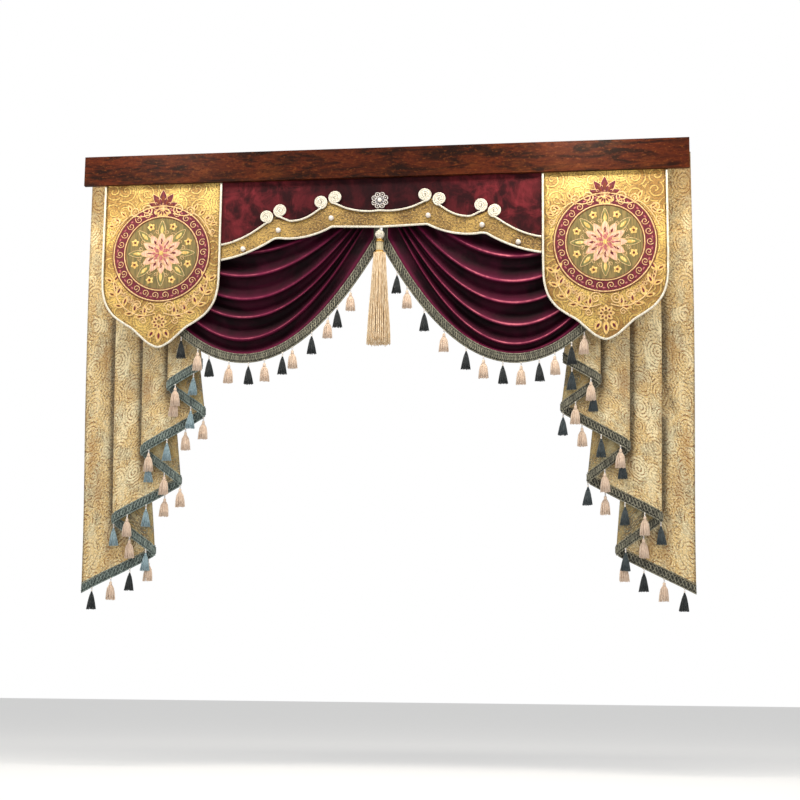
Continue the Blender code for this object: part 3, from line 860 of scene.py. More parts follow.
def span_drop(spans, x):
    """The drop of a band's edge at x from the middle."""
    distance = min(abs(x), BAND_END)
    for start_x, end_x, start_drop, end_drop, sag in spans:
        if distance <= end_x:
            t = (distance - start_x) / (end_x - start_x)
            return start_drop + (end_drop - start_drop) * t + 4 * sag * t * (1 - t)


def pennant_half_width(drop):
    """The pennant's half width at a drop, smooth through the outline's rows."""
    rows = PENNANT_OUTLINE
    last = len(rows) - 1
    for i in range(last):
        if drop <= rows[i + 1][0] or i == last - 1:
            (d0, w0), (d1, w1) = rows[i], rows[i + 1]
            before = rows[max(i - 1, 0)]
            after = rows[min(i + 2, last)]
            t = min(1.0, (drop - d0) / (d1 - d0))
            slope0 = (w1 - before[1]) / (d1 - before[0]) * (d1 - d0) if i else 0.0
            slope1 = (after[1] - w0) / (after[0] - d0) * (d1 - d0)
            return ((2 * t ** 3 - 3 * t * t + 1) * w0 + (t ** 3 - 2 * t * t + t) * slope0
                    + (3 * t * t - 2 * t ** 3) * w1 + (t ** 3 - t * t) * slope1)


def swag_profile(phase):
    """How far forward a fold lies, from 0 in the valley to 1 on the crest."""
    if phase < UNDER:
        return 0.5 + 0.5 * math.cos(math.pi * phase / UNDER)
    return 0.5 - 0.5 * math.cos(math.pi * (phase - UNDER) / (1 - UNDER))


def swag_point(side, u, v):
    """A point of a swag. u runs from end to end, -1 to 1, and v counts the crests."""
    row = max(0, min(int(v), HEM_ROW - 1))
    phase = v - row
    column = 0 if side < 0 else 1
    above, below = SWAG_CRESTS[row], SWAG_CRESTS[row + 1]
    drop = above[column] + (below[column] - above[column]) * phase
    wide = above[2] + (below[2] - above[2]) * phase
    end = above[3] + (below[3] - above[3]) * phase
    s = max(-1.0, min(1.0, u / SWAG_ARM))
    fullness = 1 - s * s
    if row >= BRAID_ROW - 1:
        forward = BRAID_FORWARD
        if row < BRAID_ROW:
            forward *= swag_profile(v - BRAID_ROW + 1)
        fold = 0.0 if row == BRAID_ROW else fullness
    else:
        forward = swag_profile(phase)
        fold = fullness
    tuck = UNDERCUT * math.sin(math.pi * phase / UNDER) * fold if phase < UNDER else 0.0
    place = end + (drop - end) * fullness - tuck
    if abs(u) > SWAG_ARM:
        rise = (abs(u) - SWAG_ARM) / (1 - SWAG_ARM)
        place = end + (TOP_DROP - end) * rise
    front = SWAG_END_FRONT + (SWAG_FRONT - SWAG_END_FRONT) * math.sqrt(fullness)
    relief = SWAG_END_RELIEF + (SWAG_RELIEF - SWAG_END_RELIEF) * fullness
    x = SWAG_X + wide * s
    return (side * x, front + relief * (1 - forward), height(place))


def cascade_plan(cells=5, turns=(30, 90, 150)):
    """The cloth's route seen from above: points of x, y, hem drop and share of the lean."""
    route = []
    last = len(CASCADE_FOLDS) - 2
    for layer in range(last + 1):
        (start_x, start_drop), (end_x, end_drop) = CASCADE_FOLDS[layer:layer + 2]
        y = CASCADE_BACK - layer * PLEAT
        way = 1 if end_x > start_x else -1
        inner = 0.0 if end_x > start_x else 1.0
        start = start_x + (way * TURN if layer else 0.0)
        end = end_x - (way * TURN if layer < last else 0.0)
        for t in steps(0.0, 1.0, cells):
            x = start + (end - start) * t
            reach = abs(x - start_x)
            roll = 0.0
            if layer % 2 == 0:
                fade = 1.0 if reach < ROLL_WIDTH else ROLL_FADE
                roll = -ROLL * fade * math.sin(math.pi * reach / ROLL_WIDTH)
                roll *= min(1.0, abs(end_x - x) / ROLL_END)
            drop = start_drop + (end_drop - start_drop) * abs(x - start_x) / abs(end_x - start_x)
            lean = inner * t + (1 - inner) * (1 - t)
            route.append((x, y + roll, drop, lean))
        if layer < last:
            for angle in turns:
                turn = math.radians(angle)
                route.append((end + way * TURN * math.sin(turn),
                              y - PLEAT / 2 * (1 - math.cos(turn)), end_drop, inner))
    return route


def cascade_point(side, route, u, drop_share, above_hem):
    """A point of a cascade at place u of its route and a share of its own drop."""
    i = min(int(u), len(route) - 2)
    t = u - i
    x, y, hem, lean = (a + (b - a) * t for a, b in zip(route[i], route[i + 1]))
    drop = TOP_DROP + (hem - above_hem - TOP_DROP) * drop_share
    front = CASCADE_BACK - (len(CASCADE_FOLDS) - 2) * PLEAT
    y = front + (y - front) * (SQUEEZE + (1 - SQUEEZE) * drop_share)
    sway = CASCADE_SWAY * math.sin(SWAY_WAVES * drop + SWAY_START) * max(0.0, drop)
    sway += LEAN * lean * min(1.0, (1 - drop_share) / LEAN_SHARE)
    return (side * (x + sway), y, height(drop))


def along(samples, distances):
    """Points at growing distances along a row of samples."""
    made = []
    travelled = 0.0
    for before, after in zip(samples, samples[1:]):
        length = (after - before).length
        while len(made) < len(distances) and travelled + length >= distances[len(made)]:
            made.append(before.lerp(after, (distances[len(made)] - travelled) / length))
        travelled += length
    return made


# Pieces

def dress_boards():
    """The boards keep their solids and take the stained wood."""
    for name in ("fascia_board", "top_board"):
        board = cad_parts[name]
        board.data.materials.clear()
        board.data.materials.append(WOOD)


def panel_and_band():
    """The flat velvet panel and the gold band along its foot."""
    rng = random.Random(4)
    waves = [(rng.uniform(5, 22), rng.uniform(-9, 9), rng.uniform(0, 6.28)) for _ in range(9)]

    def panel(x, v):
        """The panel, with a faint crinkle."""
        foot = span_drop(LOWER_SPANS, x) - PANEL_TUCK
        drop = TOP_DROP + (foot - TOP_DROP) * v
        crinkle = sum(math.sin(a * x * 6 + b * drop * 6 + c) for a, b, c in waves) / 9
        return (x, PANEL_Y + 0.0006 * crinkle, height(drop))

    def band(x, v):
        """The band, between its two edges."""
        upper, lower = span_drop(UPPER_SPANS, x), span_drop(LOWER_SPANS, x)
        return (x, PENNANT_Y + 0.0001 * math.sin(40 * x), height(upper + (lower - upper) * v))

    panel_piece = cloth_sheet("velvet_panel_cloth", steps(-PANEL_HALF_WIDTH, PANEL_HALF_WIDTH, 160),
                              steps(0.0, 1.0, 40), panel, [PANEL_VELVET],
                              "velvet_panel", flat=True)
    columns = []
    start_x = 0.0
    for end_x, cells in BAND_COLUMNS:
        columns += steps(start_x, end_x, cells)[1:]
        start_x = end_x
    columns = [-x for x in reversed(columns)] + [0.0] + columns
    band_piece = cloth_sheet("gold_band_cloth", columns, steps(0.0, 1.0, 8), band, [BAND_GOLD],
                             "gold_band", flat=True)


def rope(builder, points, radius):
    """A laid cord of three strands."""
    route = smooth_route(points, CORD_STEP)
    builder.tube(route, radius * LAID, 9, twist=2 * math.pi / CORD_LAY, lobes=STRANDS,
                 depth=STRAND_DEPTH)


def spiral(scroll, side, way):
    """Cord wound inwards on a scroll, from the foot of its rim to the middle."""
    made = []
    for t in steps(0.0, 1.0, 60):
        angle = way * 2 * math.pi * SCROLL_TURNS * t - math.pi / 2
        reach = SCROLL_RIM * (1 - t) ** 0.9 + SCROLL_EYE * t
        made.append((side * scroll[0] + reach * math.cos(angle),
                     CORD_Y - 0.0015 * math.sin(math.pi * t),
                     height(scroll[1]) + reach * math.sin(angle)))
    return made


def band_cords():
    """The lower cord, and five upper cords wound into scrolls at their ends."""
    lower = Builder()
    route = [(x, CORD_Y, height(span_drop(LOWER_SPANS, x))) for x in steps(-CORD_END, CORD_END, 60)]
    rope(lower, route, CORD)
    lower.finish("band_cord_lower_rope", [WHITE_CORD], ["band_cord_lower"])

    def edge(start_x, end_x, count, side):
        """The band's upper edge between two places."""
        return [(side * x, CORD_Y, height(span_drop(UPPER_SPANS, x)))
                for x in steps(start_x, end_x, count)]

    def wound(name, start, points, stop=None):
        """A cord that unwinds from one scroll and may wind into the next, with a knot in each eye."""
        route = list(reversed(spiral(*start))) + points
        if stop:
            route += spiral(*stop)
        cord = Builder()
        rope(cord, route, CORD * 0.86)
        for scroll, side, _ in [end for end in (start, stop) if end]:
            cord.bead(Vector((side * scroll[0], CORD_Y, height(scroll[1]))), SCROLL_KNOT, 0, 12, 8)
        cord.finish(name + "_rope", [WHITE_CORD], [name])

    inner, middle_in, middle_out, outer = SCROLLS
    centre, between_in, between_out, beyond = CORD_LEAVES
    wound("scroll_cord_centre", (inner, -1, -1),
          edge(centre, 0.0, 5, -1) + edge(0.0, centre, 5, 1)[1:], (inner, 1, 1))
    for word, side in SIDES:
        wound("scroll_cord_middle_" + word, (middle_in, side, -side),
              edge(between_in, between_out, 4, side), (middle_out, side, side))
        wound("scroll_cord_outer_" + word, (outer, side, -side), edge(beyond, CORD_END, 6, side))


def facing(middle, radius, angle, back):
    """A place round a middle point, in a plane that faces the room."""
    return middle + Vector((radius * math.cos(angle), back, radius * math.sin(angle)))


def pearls_and_brooch():
    """Pearls in small cups on the band, and the flower brooch on the velvet."""
    for word, side in SIDES:
        for number, (x, drop) in enumerate(PEARLS, 1):
            pearl = Builder()
            middle = Vector((side * x, FACE_Y - GAP - PEARL, height(drop)))
            pearl.bead(middle, PEARL * 0.96, 0, 20, 12)
            for angle in angles(14):
                pearl.bead(facing(middle, CUP_RADIUS, angle, CUP_BACK), CUP_BEAD, 1, 6, 4)
            name = "pearl_%s_%d" % (word, number)
            pearl.finish(name + "_set", [PEARL_WHITE, SILVER], [name])
    brooch = Builder()
    middle = Vector((0.0, PANEL_Y - CLOTH / 2 - GAP - 0.0065, height(BROOCH_DROP)))
    brooch.bead(middle + Vector((0, -0.002, 0)), 0.0088, 0, 24, 14)
    for count, radius, size, material in BROOCH_RINGS:
        for angle in angles(count, math.pi / 8):
            brooch.bead(facing(middle, radius, angle, 0.001), size, material, 10, 6)

    def rim(angle, t, back):
        """A place on the rim of the petal that lies at an angle."""
        reach = PETAL_REACH + PETAL_LENGTH / 2 * math.cos(t)
        across = PETAL_WIDTH / 2 * math.sin(t)
        return middle + Vector((reach * math.cos(angle) - across * math.sin(angle), back,
                                reach * math.sin(angle) + across * math.cos(angle)))

    for angle in angles(8, math.pi / 8):
        brooch.tube([rim(angle, t, 0.0030) for t in steps(0.0, 2 * math.pi, 20)], 0.0017, 7, 1)
        for t in steps(0.0, 2 * math.pi, 12)[1:]:
            brooch.bead(rim(angle, t, 0.0008), 0.0018, 0, 8, 5)
    brooch.finish("flower_brooch_set", [PEARL_WHITE, SILVER], ["flower_brooch"])


def embroider(side, word):
    """A medallion of common motifs in raised thread: ring, rosette, palmette, scrolls and net."""
    work = Builder()
    names = list(EMBROIDERY)
    cx, cd = PENNANT_X, MEDALLION_DROP

    def row(points, lift):
        """Corners on the pennant's face."""
        return work.verts(at(x, drop, lift) for x, drop in points)

    def at(x, drop, lift):
        """A place over the pennant's face."""
        return Vector((side * x, FACE_Y - 0.0001 - lift, height(drop)))

    def line(points, colour, radius=0.0016, lift=0.0006):
        """A laid thread."""
        route = smooth_route([at(x, drop, lift) for x, drop in points], 0.005)
        work.tube(route, radius, 5, names.index(colour))

    def polar(reach, angle, x=cx, drop=cd):
        """A place round a middle; angle 0 points up."""
        return (x + reach * math.sin(angle), drop - reach * math.cos(angle))

    def circle(radius, count=72, x=cx, drop=cd):
        """Places all round a circle, starting on the right."""
        return [polar(radius, angle, x, drop) for angle in angles(count, math.pi / 2)]

    def hoop(radius, colour, width, lift, count=72, x=cx, drop=cd):
        """A thread laid round a circle."""
        places = circle(radius, count, x, drop)
        line(places + places[:1], colour, width, lift)

    def disc(inner, outer, colour, lift, count=72, x=cx, drop=cd):
        """A flat round patch."""
        rows = [row(circle(radius, count, x, drop), lift) for radius in (inner, outer)]
        work.skin(rows, names.index(colour), True)

    def leaf(place, angle, length, width, colour, rim="gold", lift=0.0004):
        """A padded leaf from its root, with a cord round it."""
        shares = steps(0.0, 1.0, 7)

        def spot(t, k):
            """A place at a share of the leaf's length and k of its half width."""
            half = width / 2 * math.sin(math.pi * t ** 0.8) ** 0.8 * k
            return (place[0] + t * length * math.sin(angle) - half * math.cos(angle),
                    place[1] - t * length * math.cos(angle) - half * math.sin(angle))

        rows = []
        for t in shares:
            rows.append(work.verts(at(*spot(t, k), lift + 0.0012 * (1 - k * k))
                                   for k in steps(-1.0, 1.0, 4)))
        work.skin(rows, names.index(colour))
        if rim:
            outline = [spot(t, 1) for t in shares] + [spot(t, -1) for t in reversed(shares[:-1])]
            line(outline, rim, 0.0011, lift + 0.0006)

    def curl(place, radius, way, start, turns, width):
        """A gold scroll that winds in."""
        points = []
        for t in steps(0.0, 1.0, 20):
            angle = start + way * 2 * math.pi * turns * t
            points.append(polar(radius * (1 - 0.82 * t), angle + math.pi / 2, *place))
        line(points, "gold", width)

    def blossom(place, petals, size, wide, colour, rim, lift, start=0.0, root=0.0):
        """A round of petals."""
        for angle in angles(petals, start):
            leaf(polar(root, angle, *place), angle, size, wide, colour, rim, lift)

    def barred(place, angle, length, width, colour, heart):
        """A leaf with a lozenge of another colour at its heart."""
        leaf(place, angle, length, width, colour)
        leaf(polar(0.25 * length, angle, *place), angle, length * 0.5, width * 0.42, heart, None,
             0.0018)

    # Bronze ground, and the wine ring with a running scroll
    disc(0.010, 0.149, "bronze", 0.0003)
    disc(0.153, 0.193, "wine", 0.0004)
    for radius, colour, width in MEDALLION_HOOPS:
        hoop(radius, colour, width, 0.0012)
    for angle in angles(26):
        curl(polar(0.172, angle + math.pi / 2), 0.0150, 1, angle + 0.6, 1.35, 0.0015)
        turn = angle + math.pi / 26
        leaf(polar(0.181, turn + math.pi / 2), turn + math.pi, 0.014, 0.007, "rose", None, 0.0010)
    # Leaves, blossoms and the rosette
    for angle in angles(8):
        barred(polar(0.062, angle), angle, 0.074, 0.030, "moss", "straw")
        turn = angle + math.pi / 8
        blossom(polar(0.118, turn), 5, 0.017, 0.013, "straw", None, 0.0010, turn)
        blossom(polar(0.118, turn), 5, 0.006, 0.005, "rust", None, 0.0026, turn)
        for way in (-1, 1):
            curl(polar(0.090, turn + way * 0.16), 0.010, way, turn, 1.3, 0.0011)
    for round_of_petals in ROSETTE:
        blossom((cx, cd), *round_of_petals)
    # Palmette over the ring
    for number, (size, wide) in enumerate(PALMETTE):
        for way in ((-1, 1) if number else (1,)):
            barred((cx, 0.098), way * number * 0.62, size, wide, "wine", "rust")
    for angle in steps(-1.04, 1.04, 4):
        barred((cx, 0.100), angle + math.pi, 0.040, 0.018, "straw", "wine")
    # Pierced flower at the foot
    foot = (cx, 0.566)
    for round_of_petals in FOOT_FLOWER:
        blossom(foot, *round_of_petals)
    for way in (-1, 0, 1):
        barred((cx + way * 0.020, foot[1] + 0.030), math.pi - way * 0.55,
               0.054 - 0.012 * abs(way), 0.024, "straw", "wine")
    # Scrolls, leaf stems and net, alike on both sides
    for way in (-1, 1):
        for out, drop, radius, hand, start, turns, width in CURLS:
            curl((cx + way * out, drop), radius, way * hand, start, turns, width)
        line([(cx + way * out, drop) for out, drop in TOP_STEM], "gold", 0.0024)
        for k in range(4):
            barred((cx + way * (0.128 + 0.022 * k), 0.112 + 0.020 * k), way * (0.5 + 0.28 * k),
                   0.034, 0.015, "straw", "rust")
        garland = [(cx + way * out, drop) for out, drop in GARLAND]
        line(garland, "gold", 0.0026)
        for k, place in enumerate(garland[1:]):
            lean = way * (0.75 - 0.16 * k)
            barred(place, lean - way * 0.75, 0.046, 0.020, "straw", "wine")
            barred(place, lean + way * 0.95, 0.040, 0.018, "straw", "rust")
        for down in range(3):
            for across in range(7):
                x = cx + way * (0.098 + 0.015 * across + 0.0075 * (down % 2) - 0.012 * down)
                drop = 0.492 - 0.014 * across + 0.015 * down
                hoop(0.0068, "gold", 0.0012, 0.0006, 9, x, drop)
                disc(0.0003, 0.0038, "rust", 0.0004, 6, x, drop)
    return work.finish("pennant_medallion_" + word, [EMBROIDERY[n] for n in names])


def pennants():
    """Two pennants, each with its medallion and a cord round the edge."""
    tip = PENNANT_OUTLINE[-1][0]
    rows = steps(TOP_DROP, PENNANT_STRAIGHT, 30) + steps(PENNANT_STRAIGHT, tip, 60)[1:]
    drops = steps(CORD_TUCK, PENNANT_STRAIGHT, 14)
    drops += steps(PENNANT_STRAIGHT, tip - CORD_TUCK, 40)[1:]
    edge = [(pennant_half_width(drop) - CORD / 2, drop) for drop in drops]
    for word, side in SIDES:
        def pennant(u, drop):
            """The flat pennant."""
            return (side * (PENNANT_X + pennant_half_width(drop) * u), PENNANT_Y, height(drop))

        piece = cloth_sheet("pennant_cloth_" + word, steps(-1.0, 1.0, 24), rows, pennant, [GOLD],
                            "pennant_" + word, flat=True)
        medallion = embroider(side, word)
        route = [(PENNANT_X - half, drop) for half, drop in edge]
        route += [(PENNANT_X, tip - CORD / 4)]
        route += [(PENNANT_X + half, drop) for half, drop in reversed(edge)]
        cord = Builder()
        rope(cord, [(side * x, CORD_Y, height(drop)) for x, drop in route], CORD)
        cord.finish("pennant_rope_" + word, [WHITE_CORD], ["pennant_cord_" + word])


def braid(builder, top, foot):
    """A woven braid between two routes: a padded ground, two edge cords and a raised zigzag."""
    count = len(top)
    across = steps(0.0, 1.0, 4)
    outs = []
    for i in range(count):
        ahead = top[min(i + 1, count - 1)] - top[max(i - 1, 0)]
        out = ahead.cross(foot[i] - top[i])
        outs.append(out.normalized() if out.length else Vector((0, -1, 0)))

    def spot(i, share, lift):
        """A place at a share of the braid's width, lifted off its middle plane."""
        return top[i].lerp(foot[i], share) + outs[i] * lift

    front, back = [[builder.verts(spot(i, share, lift * face)
                                  for share, lift in zip(across, BRAID_LIFTS))
                    for i in range(count)] for face in (1, -1)]
    builder.skin(front)
    builder.skin(back)
    for k in (0, -1):
        builder.skin([[line[k] for line in front], [line[k] for line in back]])
        builder.skin([front[k], back[k]])
    for share in RAIL_PLACES:
        builder.tube([spot(i, share, 0.0) for i in range(count)], RAIL, 6, 1)
    for start in (0, 1):
        for face in (1, -1):
            zigzag = []
            for i in range(count):
                swing = math.cos(math.pi * (i / ZIGZAG_STEPS + start))
                zigzag.append(spot(i, 0.5 + ZIGZAG_REACH * swing, ZIGZAG_LIFT * face))
            builder.tube(zigzag, ZIGZAG, 4, 1)


def small_tassel(builder, place, yarn, rng):
    """Beads, a bound head and a skirt of strands."""
    x, y, z = place
    builder.tube([Vector((x, y, z + 0.004)), Vector((x, y, z - 0.024))], 0.0012, 5, 0)
    for drop, radius, material in TASSEL_BEADS:
        builder.bead(Vector((x, y, z - drop)), radius, material, 8, 5)
    head, swell = TASSEL_HEADS["bottle" if yarn == BEIGE else "cone"]
    builder.turned((x, y, z), head, 12, yarn, 0.8)
    sway = rng.uniform(-0.05, 0.05)
    for s, angle in enumerate(angles(SKIRT_STRANDS)):
        ring = 0.62 + 0.38 * (s % 3) / 2
        angle += rng.uniform(-0.06, 0.06)
        foot = TASSEL_LENGTH - rng.uniform(0.0, 0.004)
        points = []
        for t in (0.0, 0.22, 0.55, 1.0):
            reach = ring * (SKIRT_TOP + SKIRT_FLARE * t ** swell)
            drop = TASSEL_NECK + (foot - TASSEL_NECK) * t
            points.append(Vector((x + math.cos(angle) * reach + sway * (drop - TASSEL_NECK),
                                  y + math.sin(angle) * reach * 0.50, z - drop)))
        builder.tube(points, SKIRT_RADII, 4, yarn)


def fringe(name, top, foot, places, braids, yarns, node, seed):
    """A hem braid and the small tassels that hang from it, in one piece."""
    rng = random.Random(seed)
    work = Builder()
    braid(work, top, foot)
    for number, place in enumerate(places):
        small_tassel(work, place, yarns[number % len(yarns)], rng)
    return work.finish(name, [*braids, PEARL_WHITE, SILVER, BLACK_YARN, BEIGE_YARN,
                              TEAL_YARN, SLATE_YARN], [node])


def swag(word, side, rng):
    """A draped velvet swag with its fringed hem."""
    creases = [(rng.uniform(0.8, 2.6), rng.uniform(6, 15), rng.uniform(0, 6.28),
                rng.uniform(-1.0, 1.0)) for _ in range(7)]
    glow, dark = SWAG_GLOW[word]

    def lively(u, v):
        """The frame's surface with soft uneven creases that run along the folds."""
        point = Vector(swag_point(side, u, v))
        if abs(u) >= SWAG_ARM:
            return point
        s = u / SWAG_ARM
        fade = (1 - s * s) ** 0.5 * min(1.0, v)
        wave = sum(math.sin(a * s * 3 + b * v * 0.55 + c) * d for a, b, c, d in creases) / 7
        droop = math.sin(2.1 * s + 1.7 * v + side) * min(1.0, HEM_ROW - v)
        point.y += SWAG_CREASE * wave * fade
        point.z += SWAG_DROOP * droop * fade
        return point

    def crest(u, v):
        """Painted highlight on the pile: a glow that grows to a bright line at each crest, fainter
        toward the swag's ends.
        """
        s = max(-1.0, min(1.0, u / SWAG_ARM))
        row = min(int(v), HEM_ROW - 1)
        pitch = SWAG_CRESTS[row + 1][0] - SWAG_CRESTS[row][0]
        phase = v - row
        lit = 1 - CREST_LIT / pitch
        past = (phase - lit) * pitch
        rise = max(0.0, min(1.0, (phase - dark) / (lit - dark)))
        body = rise * rise if phase < lit else math.exp(-(past / CREST_FADE) ** 2)
        line = CREST_SHINE * math.exp(-(past / CREST_LINE) ** 2) if row else 0.0
        if row >= BRAID_ROW - 1:
            line *= 0.5
        return (glow * body + line) * (0.60 + 0.40 * (1 - s * s))

    def edge(row, reach):
        """Places along a row of the swag."""
        return [Vector(swag_point(side, SWAG_ARM * t, float(row))) for t in reach]

    rows = []
    for row in range(BRAID_ROW):
        rows += steps(row, row + 1, 18 if row > 1 else 8)[:-1]
    rows.append(BRAID_ROW + 0.3)
    columns = [-1.0, -0.95, -0.9] + steps(-SWAG_ARM, SWAG_ARM, 90) + [0.9, 0.95, 1.0]
    piece = cloth_sheet("swag_cloth_" + word, columns, rows, lively, [SWAG_VELVET],
                        "swag_" + word, crest=crest)
    ends = [-BRAID_REACH / SWAG_ARM, -0.5 * (1 + BRAID_REACH / SWAG_ARM)]
    reach = ends + steps(-1.0, 1.0, 420) + [-t for t in reversed(ends)]
    places = along(edge(HEM_ROW, steps(-1.0, 1.0, 400)), SWAG_TASSELS[word])
    yarns = (BEIGE, BLACK) if side < 0 else (BLACK, BEIGE)
    trim = fringe("swag_trim_" + word, edge(BRAID_ROW, reach), edge(HEM_ROW, reach), places,
                  GREY_BRAID, yarns, "swag_fringe_" + word, 20 + side)


def cascade(word, side, rng):
    """A pleated cascade with its fringed hem."""
    fine = cascade_plan(26, (12, 36, 60, 90, 120, 144, 168))
    creases = [(rng.uniform(0.75, 1.18), rng.uniform(0.2, 1.5), rng.uniform(0.5, 0.9),
                rng.uniform(-1, 1)) for _ in range(9)]

    def lively(u, v):
        """The frame's folds with soft slanting creases pressed into the faces."""
        point = Vector(cascade_point(side, fine, u, v, CASCADE_BRAID * 0.4))
        drop = FASCIA_BOTTOM - point.z
        across = abs(point.x)
        push = 0.0
        for x, d, _, size in creases:
            gap = (across - x) - (drop - d) * CREASE_SLANT * size
            fade = math.exp(-((drop - d) / CREASE_LENGTH) ** 2)
            push += size * math.exp(-(gap / CREASE_WIDTH) ** 2) * fade
        flat = min(1.0, (1 - v) / CREASE_STOP)
        point.y += flat * (CASCADE_CREASE * push + 0.0010 * math.sin(9 * drop + 7 * across))
        return point

    def fold_shadow(u, v):
        """Painted shadow where a face runs in behind the next fold and along the right outer face's
        creases; also a darker strip along the outermost edge.
        """
        x, y, hem, _ = fine[int(u)]
        layer = int((CASCADE_BACK - y) / PLEAT + 0.45)
        drop = TOP_DROP + (hem - TOP_DROP) * v
        if layer == 0 and x > CASCADE_FOLDS[0][0] - 0.006:
            return 0.5
        if layer == 0 and side > 0:
            for start_x, start_drop, end_x, end_drop in PAINTED_CREASE_SHADOWS:
                t = (drop - start_drop) / (end_drop - start_drop)
                gap = start_x + (end_x - start_x) * t - x
                if 0.0 < t < 1.0 and gap > -0.004:
                    deep = 0.50 + 0.50 * math.exp(-(gap / CREASE_SHADOW_WIDTH) ** 2)
                    return deep * (1 - t) ** 0.35
        if layer % 2 or layer + 3 >= len(CASCADE_FOLDS):
            return 0.15
        (near_x, near_hem), (far_x, far_hem) = CASCADE_FOLDS[layer + 2:layer + 4]
        gap = max(x - near_x, 0.0)
        over = near_hem + (far_hem - near_hem) * gap / (far_x - near_x)
        below = max(0.0, drop - over - 0.02)
        dark = sum(depth * math.exp(-(gap / width) ** 2) for depth, width in SHADOWS)
        return dark * math.exp(-below / 0.05)

    def edge(route, above_hem, cells):
        """Places along the cloth at a height above its hem."""
        return [Vector(cascade_point(side, route, t * (len(route) - 1), 1.0, above_hem))
                for t in steps(0.0, 1.0, cells)]

    columns = [float(i) for i in range(len(fine))]
    piece = cloth_sheet("cascade_cloth_" + word, columns, steps(0.0, 1.0, 84), lively,
                        [REVERSE, JACQUARD] if side < 0 else [JACQUARD, REVERSE],
                        "cascade_" + word, crest=fold_shadow)
    distances = [CASCADE_TASSEL_START + CASCADE_TASSEL_PITCH * i for i in range(CASCADE_TASSELS)]
    places = along(edge(cascade_plan(), 0.0, 400), distances)
    trim = fringe("cascade_trim_" + word, edge(fine, CASCADE_BRAID, 520), edge(fine, 0.0, 520),
                  places, BLUE_BRAID if side < 0 else GREY_BRAID,
                  LEFT_YARNS if side < 0 else RIGHT_YARNS, "cascade_fringe_" + word, 30 + side)


def swags_and_cascades():
    """The draped and the pleated cloths of both sides."""
    for dress, rng in ((swag, random.Random(11)), (cascade, random.Random(5))):
        for word, side in SIDES:
            dress(word, side, rng)


def centre_tassel():
    """The long chenille tassel on its loop."""
    rng = random.Random(8)
    work = Builder()

    def at(reach, angle, drop):
        """A place round the tassel's own line."""
        return Vector((reach * math.cos(angle), CENTRE_Y + reach * math.sin(angle), height(drop)))

    work.tube([at(0.0, 0.0, TOP_DROP), at(0.0, 0.0, 0.214)], 0.0018, 6)
    for turn in range(5):
        wind = 0.2275 + 0.0015 * math.sin(turn * 2.0)
        loop = [at(0.0138 * math.cos(a), math.pi * turn / 5, wind + 0.0125 * math.sin(a))
                for a in steps(0.0, 2 * math.pi, 24)]
        work.tube(loop, 0.0050, 8, 2)
    work.bead(at(0.0, 0.0, 0.2440), 0.0095, 2, 16, 8)
    for drop, radius in CENTRE_BINDINGS:
        hoop = [at(radius, a, drop) for a in steps(0.0, 2 * math.pi, 28)]
        work.tube(hoop, 0.0030, 6, 1)
    work.turned((0, CENTRE_Y, FASCIA_BOTTOM), CENTRE_HEAD, 60, 3, 1.0, 20, 0.08)
    for s, angle in enumerate(angles(CENTRE_STRANDS)):
        ring = (0.55, 0.80, 1.0)[s % 3]
        angle += rng.uniform(-0.02, 0.02)
        foot = CENTRE_LENGTH - rng.uniform(0.0, 0.008)
        points, radii = [], []
        for t in steps(0.0, 1.0, 16):
            reach = ring * (CENTRE_SKIRT + CENTRE_FLARE * t)
            wobble = Vector((0.0008 * math.sin(8 * t + s), 0.0, 0.0))
            points.append(at(reach, angle, CENTRE_NECK + (foot - CENTRE_NECK) * t) + wobble)
            radii.append(CENTRE_YARN * (0.8 + 0.2 * t) * (0.9 if t < 1.0 else 0.5))
        work.tube(points, radii, 5, 0)
    work.finish("centre_tassel_set", [CREAM_YARN, GOLD_BEAD, WHITE_CORD, NECK_YARN],
                ["centre_tassel"])


# Stage, light and camera

def stand(name, data, place):
    """An object at a place in the scene."""
    made = bpy.data.objects.new(name, data)
    made.location = place
    bpy.context.scene.collection.objects.link(made)
    return made


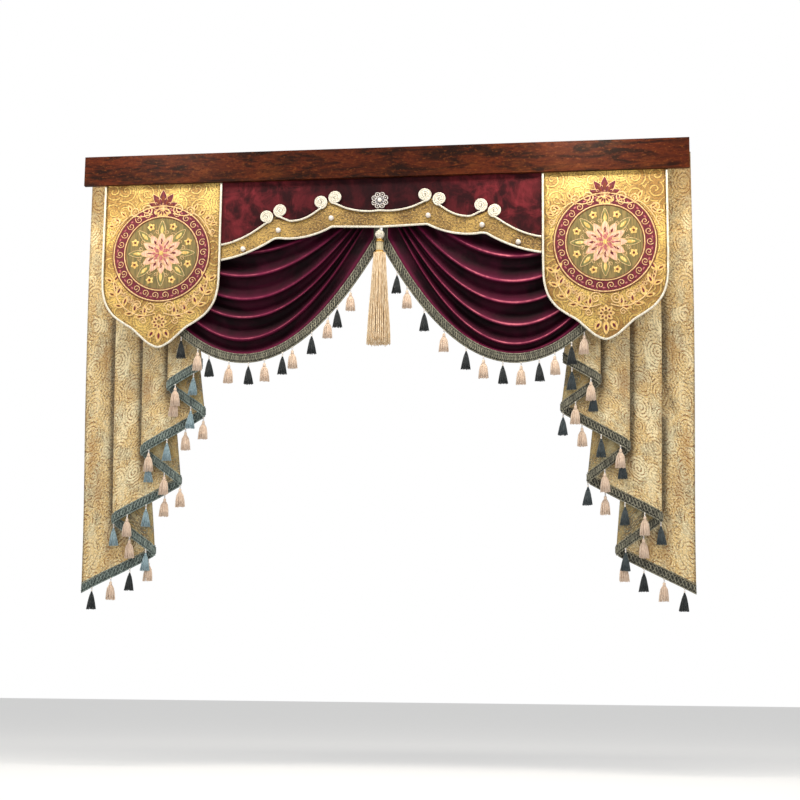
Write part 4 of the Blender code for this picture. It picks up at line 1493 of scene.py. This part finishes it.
def floor():
    """A pale floor under the object."""
    mesh = bpy.data.meshes.new("floor")
    form = bmesh.new()
    bmesh.ops.create_grid(form, x_segments=1, y_segments=1, size=30.0)
    form.to_mesh(mesh)
    form.free()
    pale = new_finish("pale_floor")
    tone = pale.noise(pale.object_place(), 3.0)
    colour = pale.mix(tone, (0.86, 0.86, 0.85, 1.0), (0.90, 0.90, 0.89, 1.0))
    mesh.materials.append(pale.surface(colour, 0.9, Emission_Color=(1.0, 1.0, 1.0, 1.0),
                                       Emission_Strength=0.30))
    piece = stand("floor", mesh, (0.0, 0.0, CAD_LOW.z - FLOOR_DROP))


def lights():
    """A white room that lights the object softly, and lamps above, in front and at the edges."""
    world = bpy.data.worlds.new("studio")
    bpy.context.scene.world = world
    sky = Finish(world)
    background = sky.tree.nodes["Background"]
    seen = sky.node("ShaderNodeLightPath", {})
    strength = sky.node("ShaderNodeMapRange", {}, seen, None, None, ROOM_LIGHT, 1.0)
    sky.feed(background.inputs[0], (1.0, 1.0, 1.0, 1.0))
    sky.feed(background.inputs[1], strength)
    bpy.context.scene.view_settings.view_transform = "Standard"
    for name, place, aim, size, power, tint in LAMPS:
        light = bpy.data.lights.new(name, "AREA")
        light.shape = "RECTANGLE"
        light.size, light.size_y = size
        light.energy = power
        light.color = tint
        ahead = Vector(aim) - Vector(place)
        stand(name, light, place).rotation_euler = ahead.to_track_quat("-Z", "Y").to_euler()


def camera():
    """The photograph's view: from the right and below, level with the tails."""
    data = bpy.data.cameras.new("camera")
    data.sensor_width = 36.0
    data.lens = CAMERA_LENS
    piece = stand("camera", data, CAMERA_PLACE)
    turn, lift, roll = (math.radians(angle) for angle in CAMERA_TURNS)
    piece.rotation_euler = (Matrix.Rotation(turn, 4, "Z")
                            @ Matrix.Rotation(math.pi / 2 + lift, 4, "X")
                            @ Matrix.Rotation(roll, 4, "Z")).to_euler()
    bpy.context.scene.camera = piece


camera()
dress_boards()
panel_and_band()
band_cords()
pearls_and_brooch()
pennants()
swags_and_cascades()
centre_tassel()
floor()
lights()
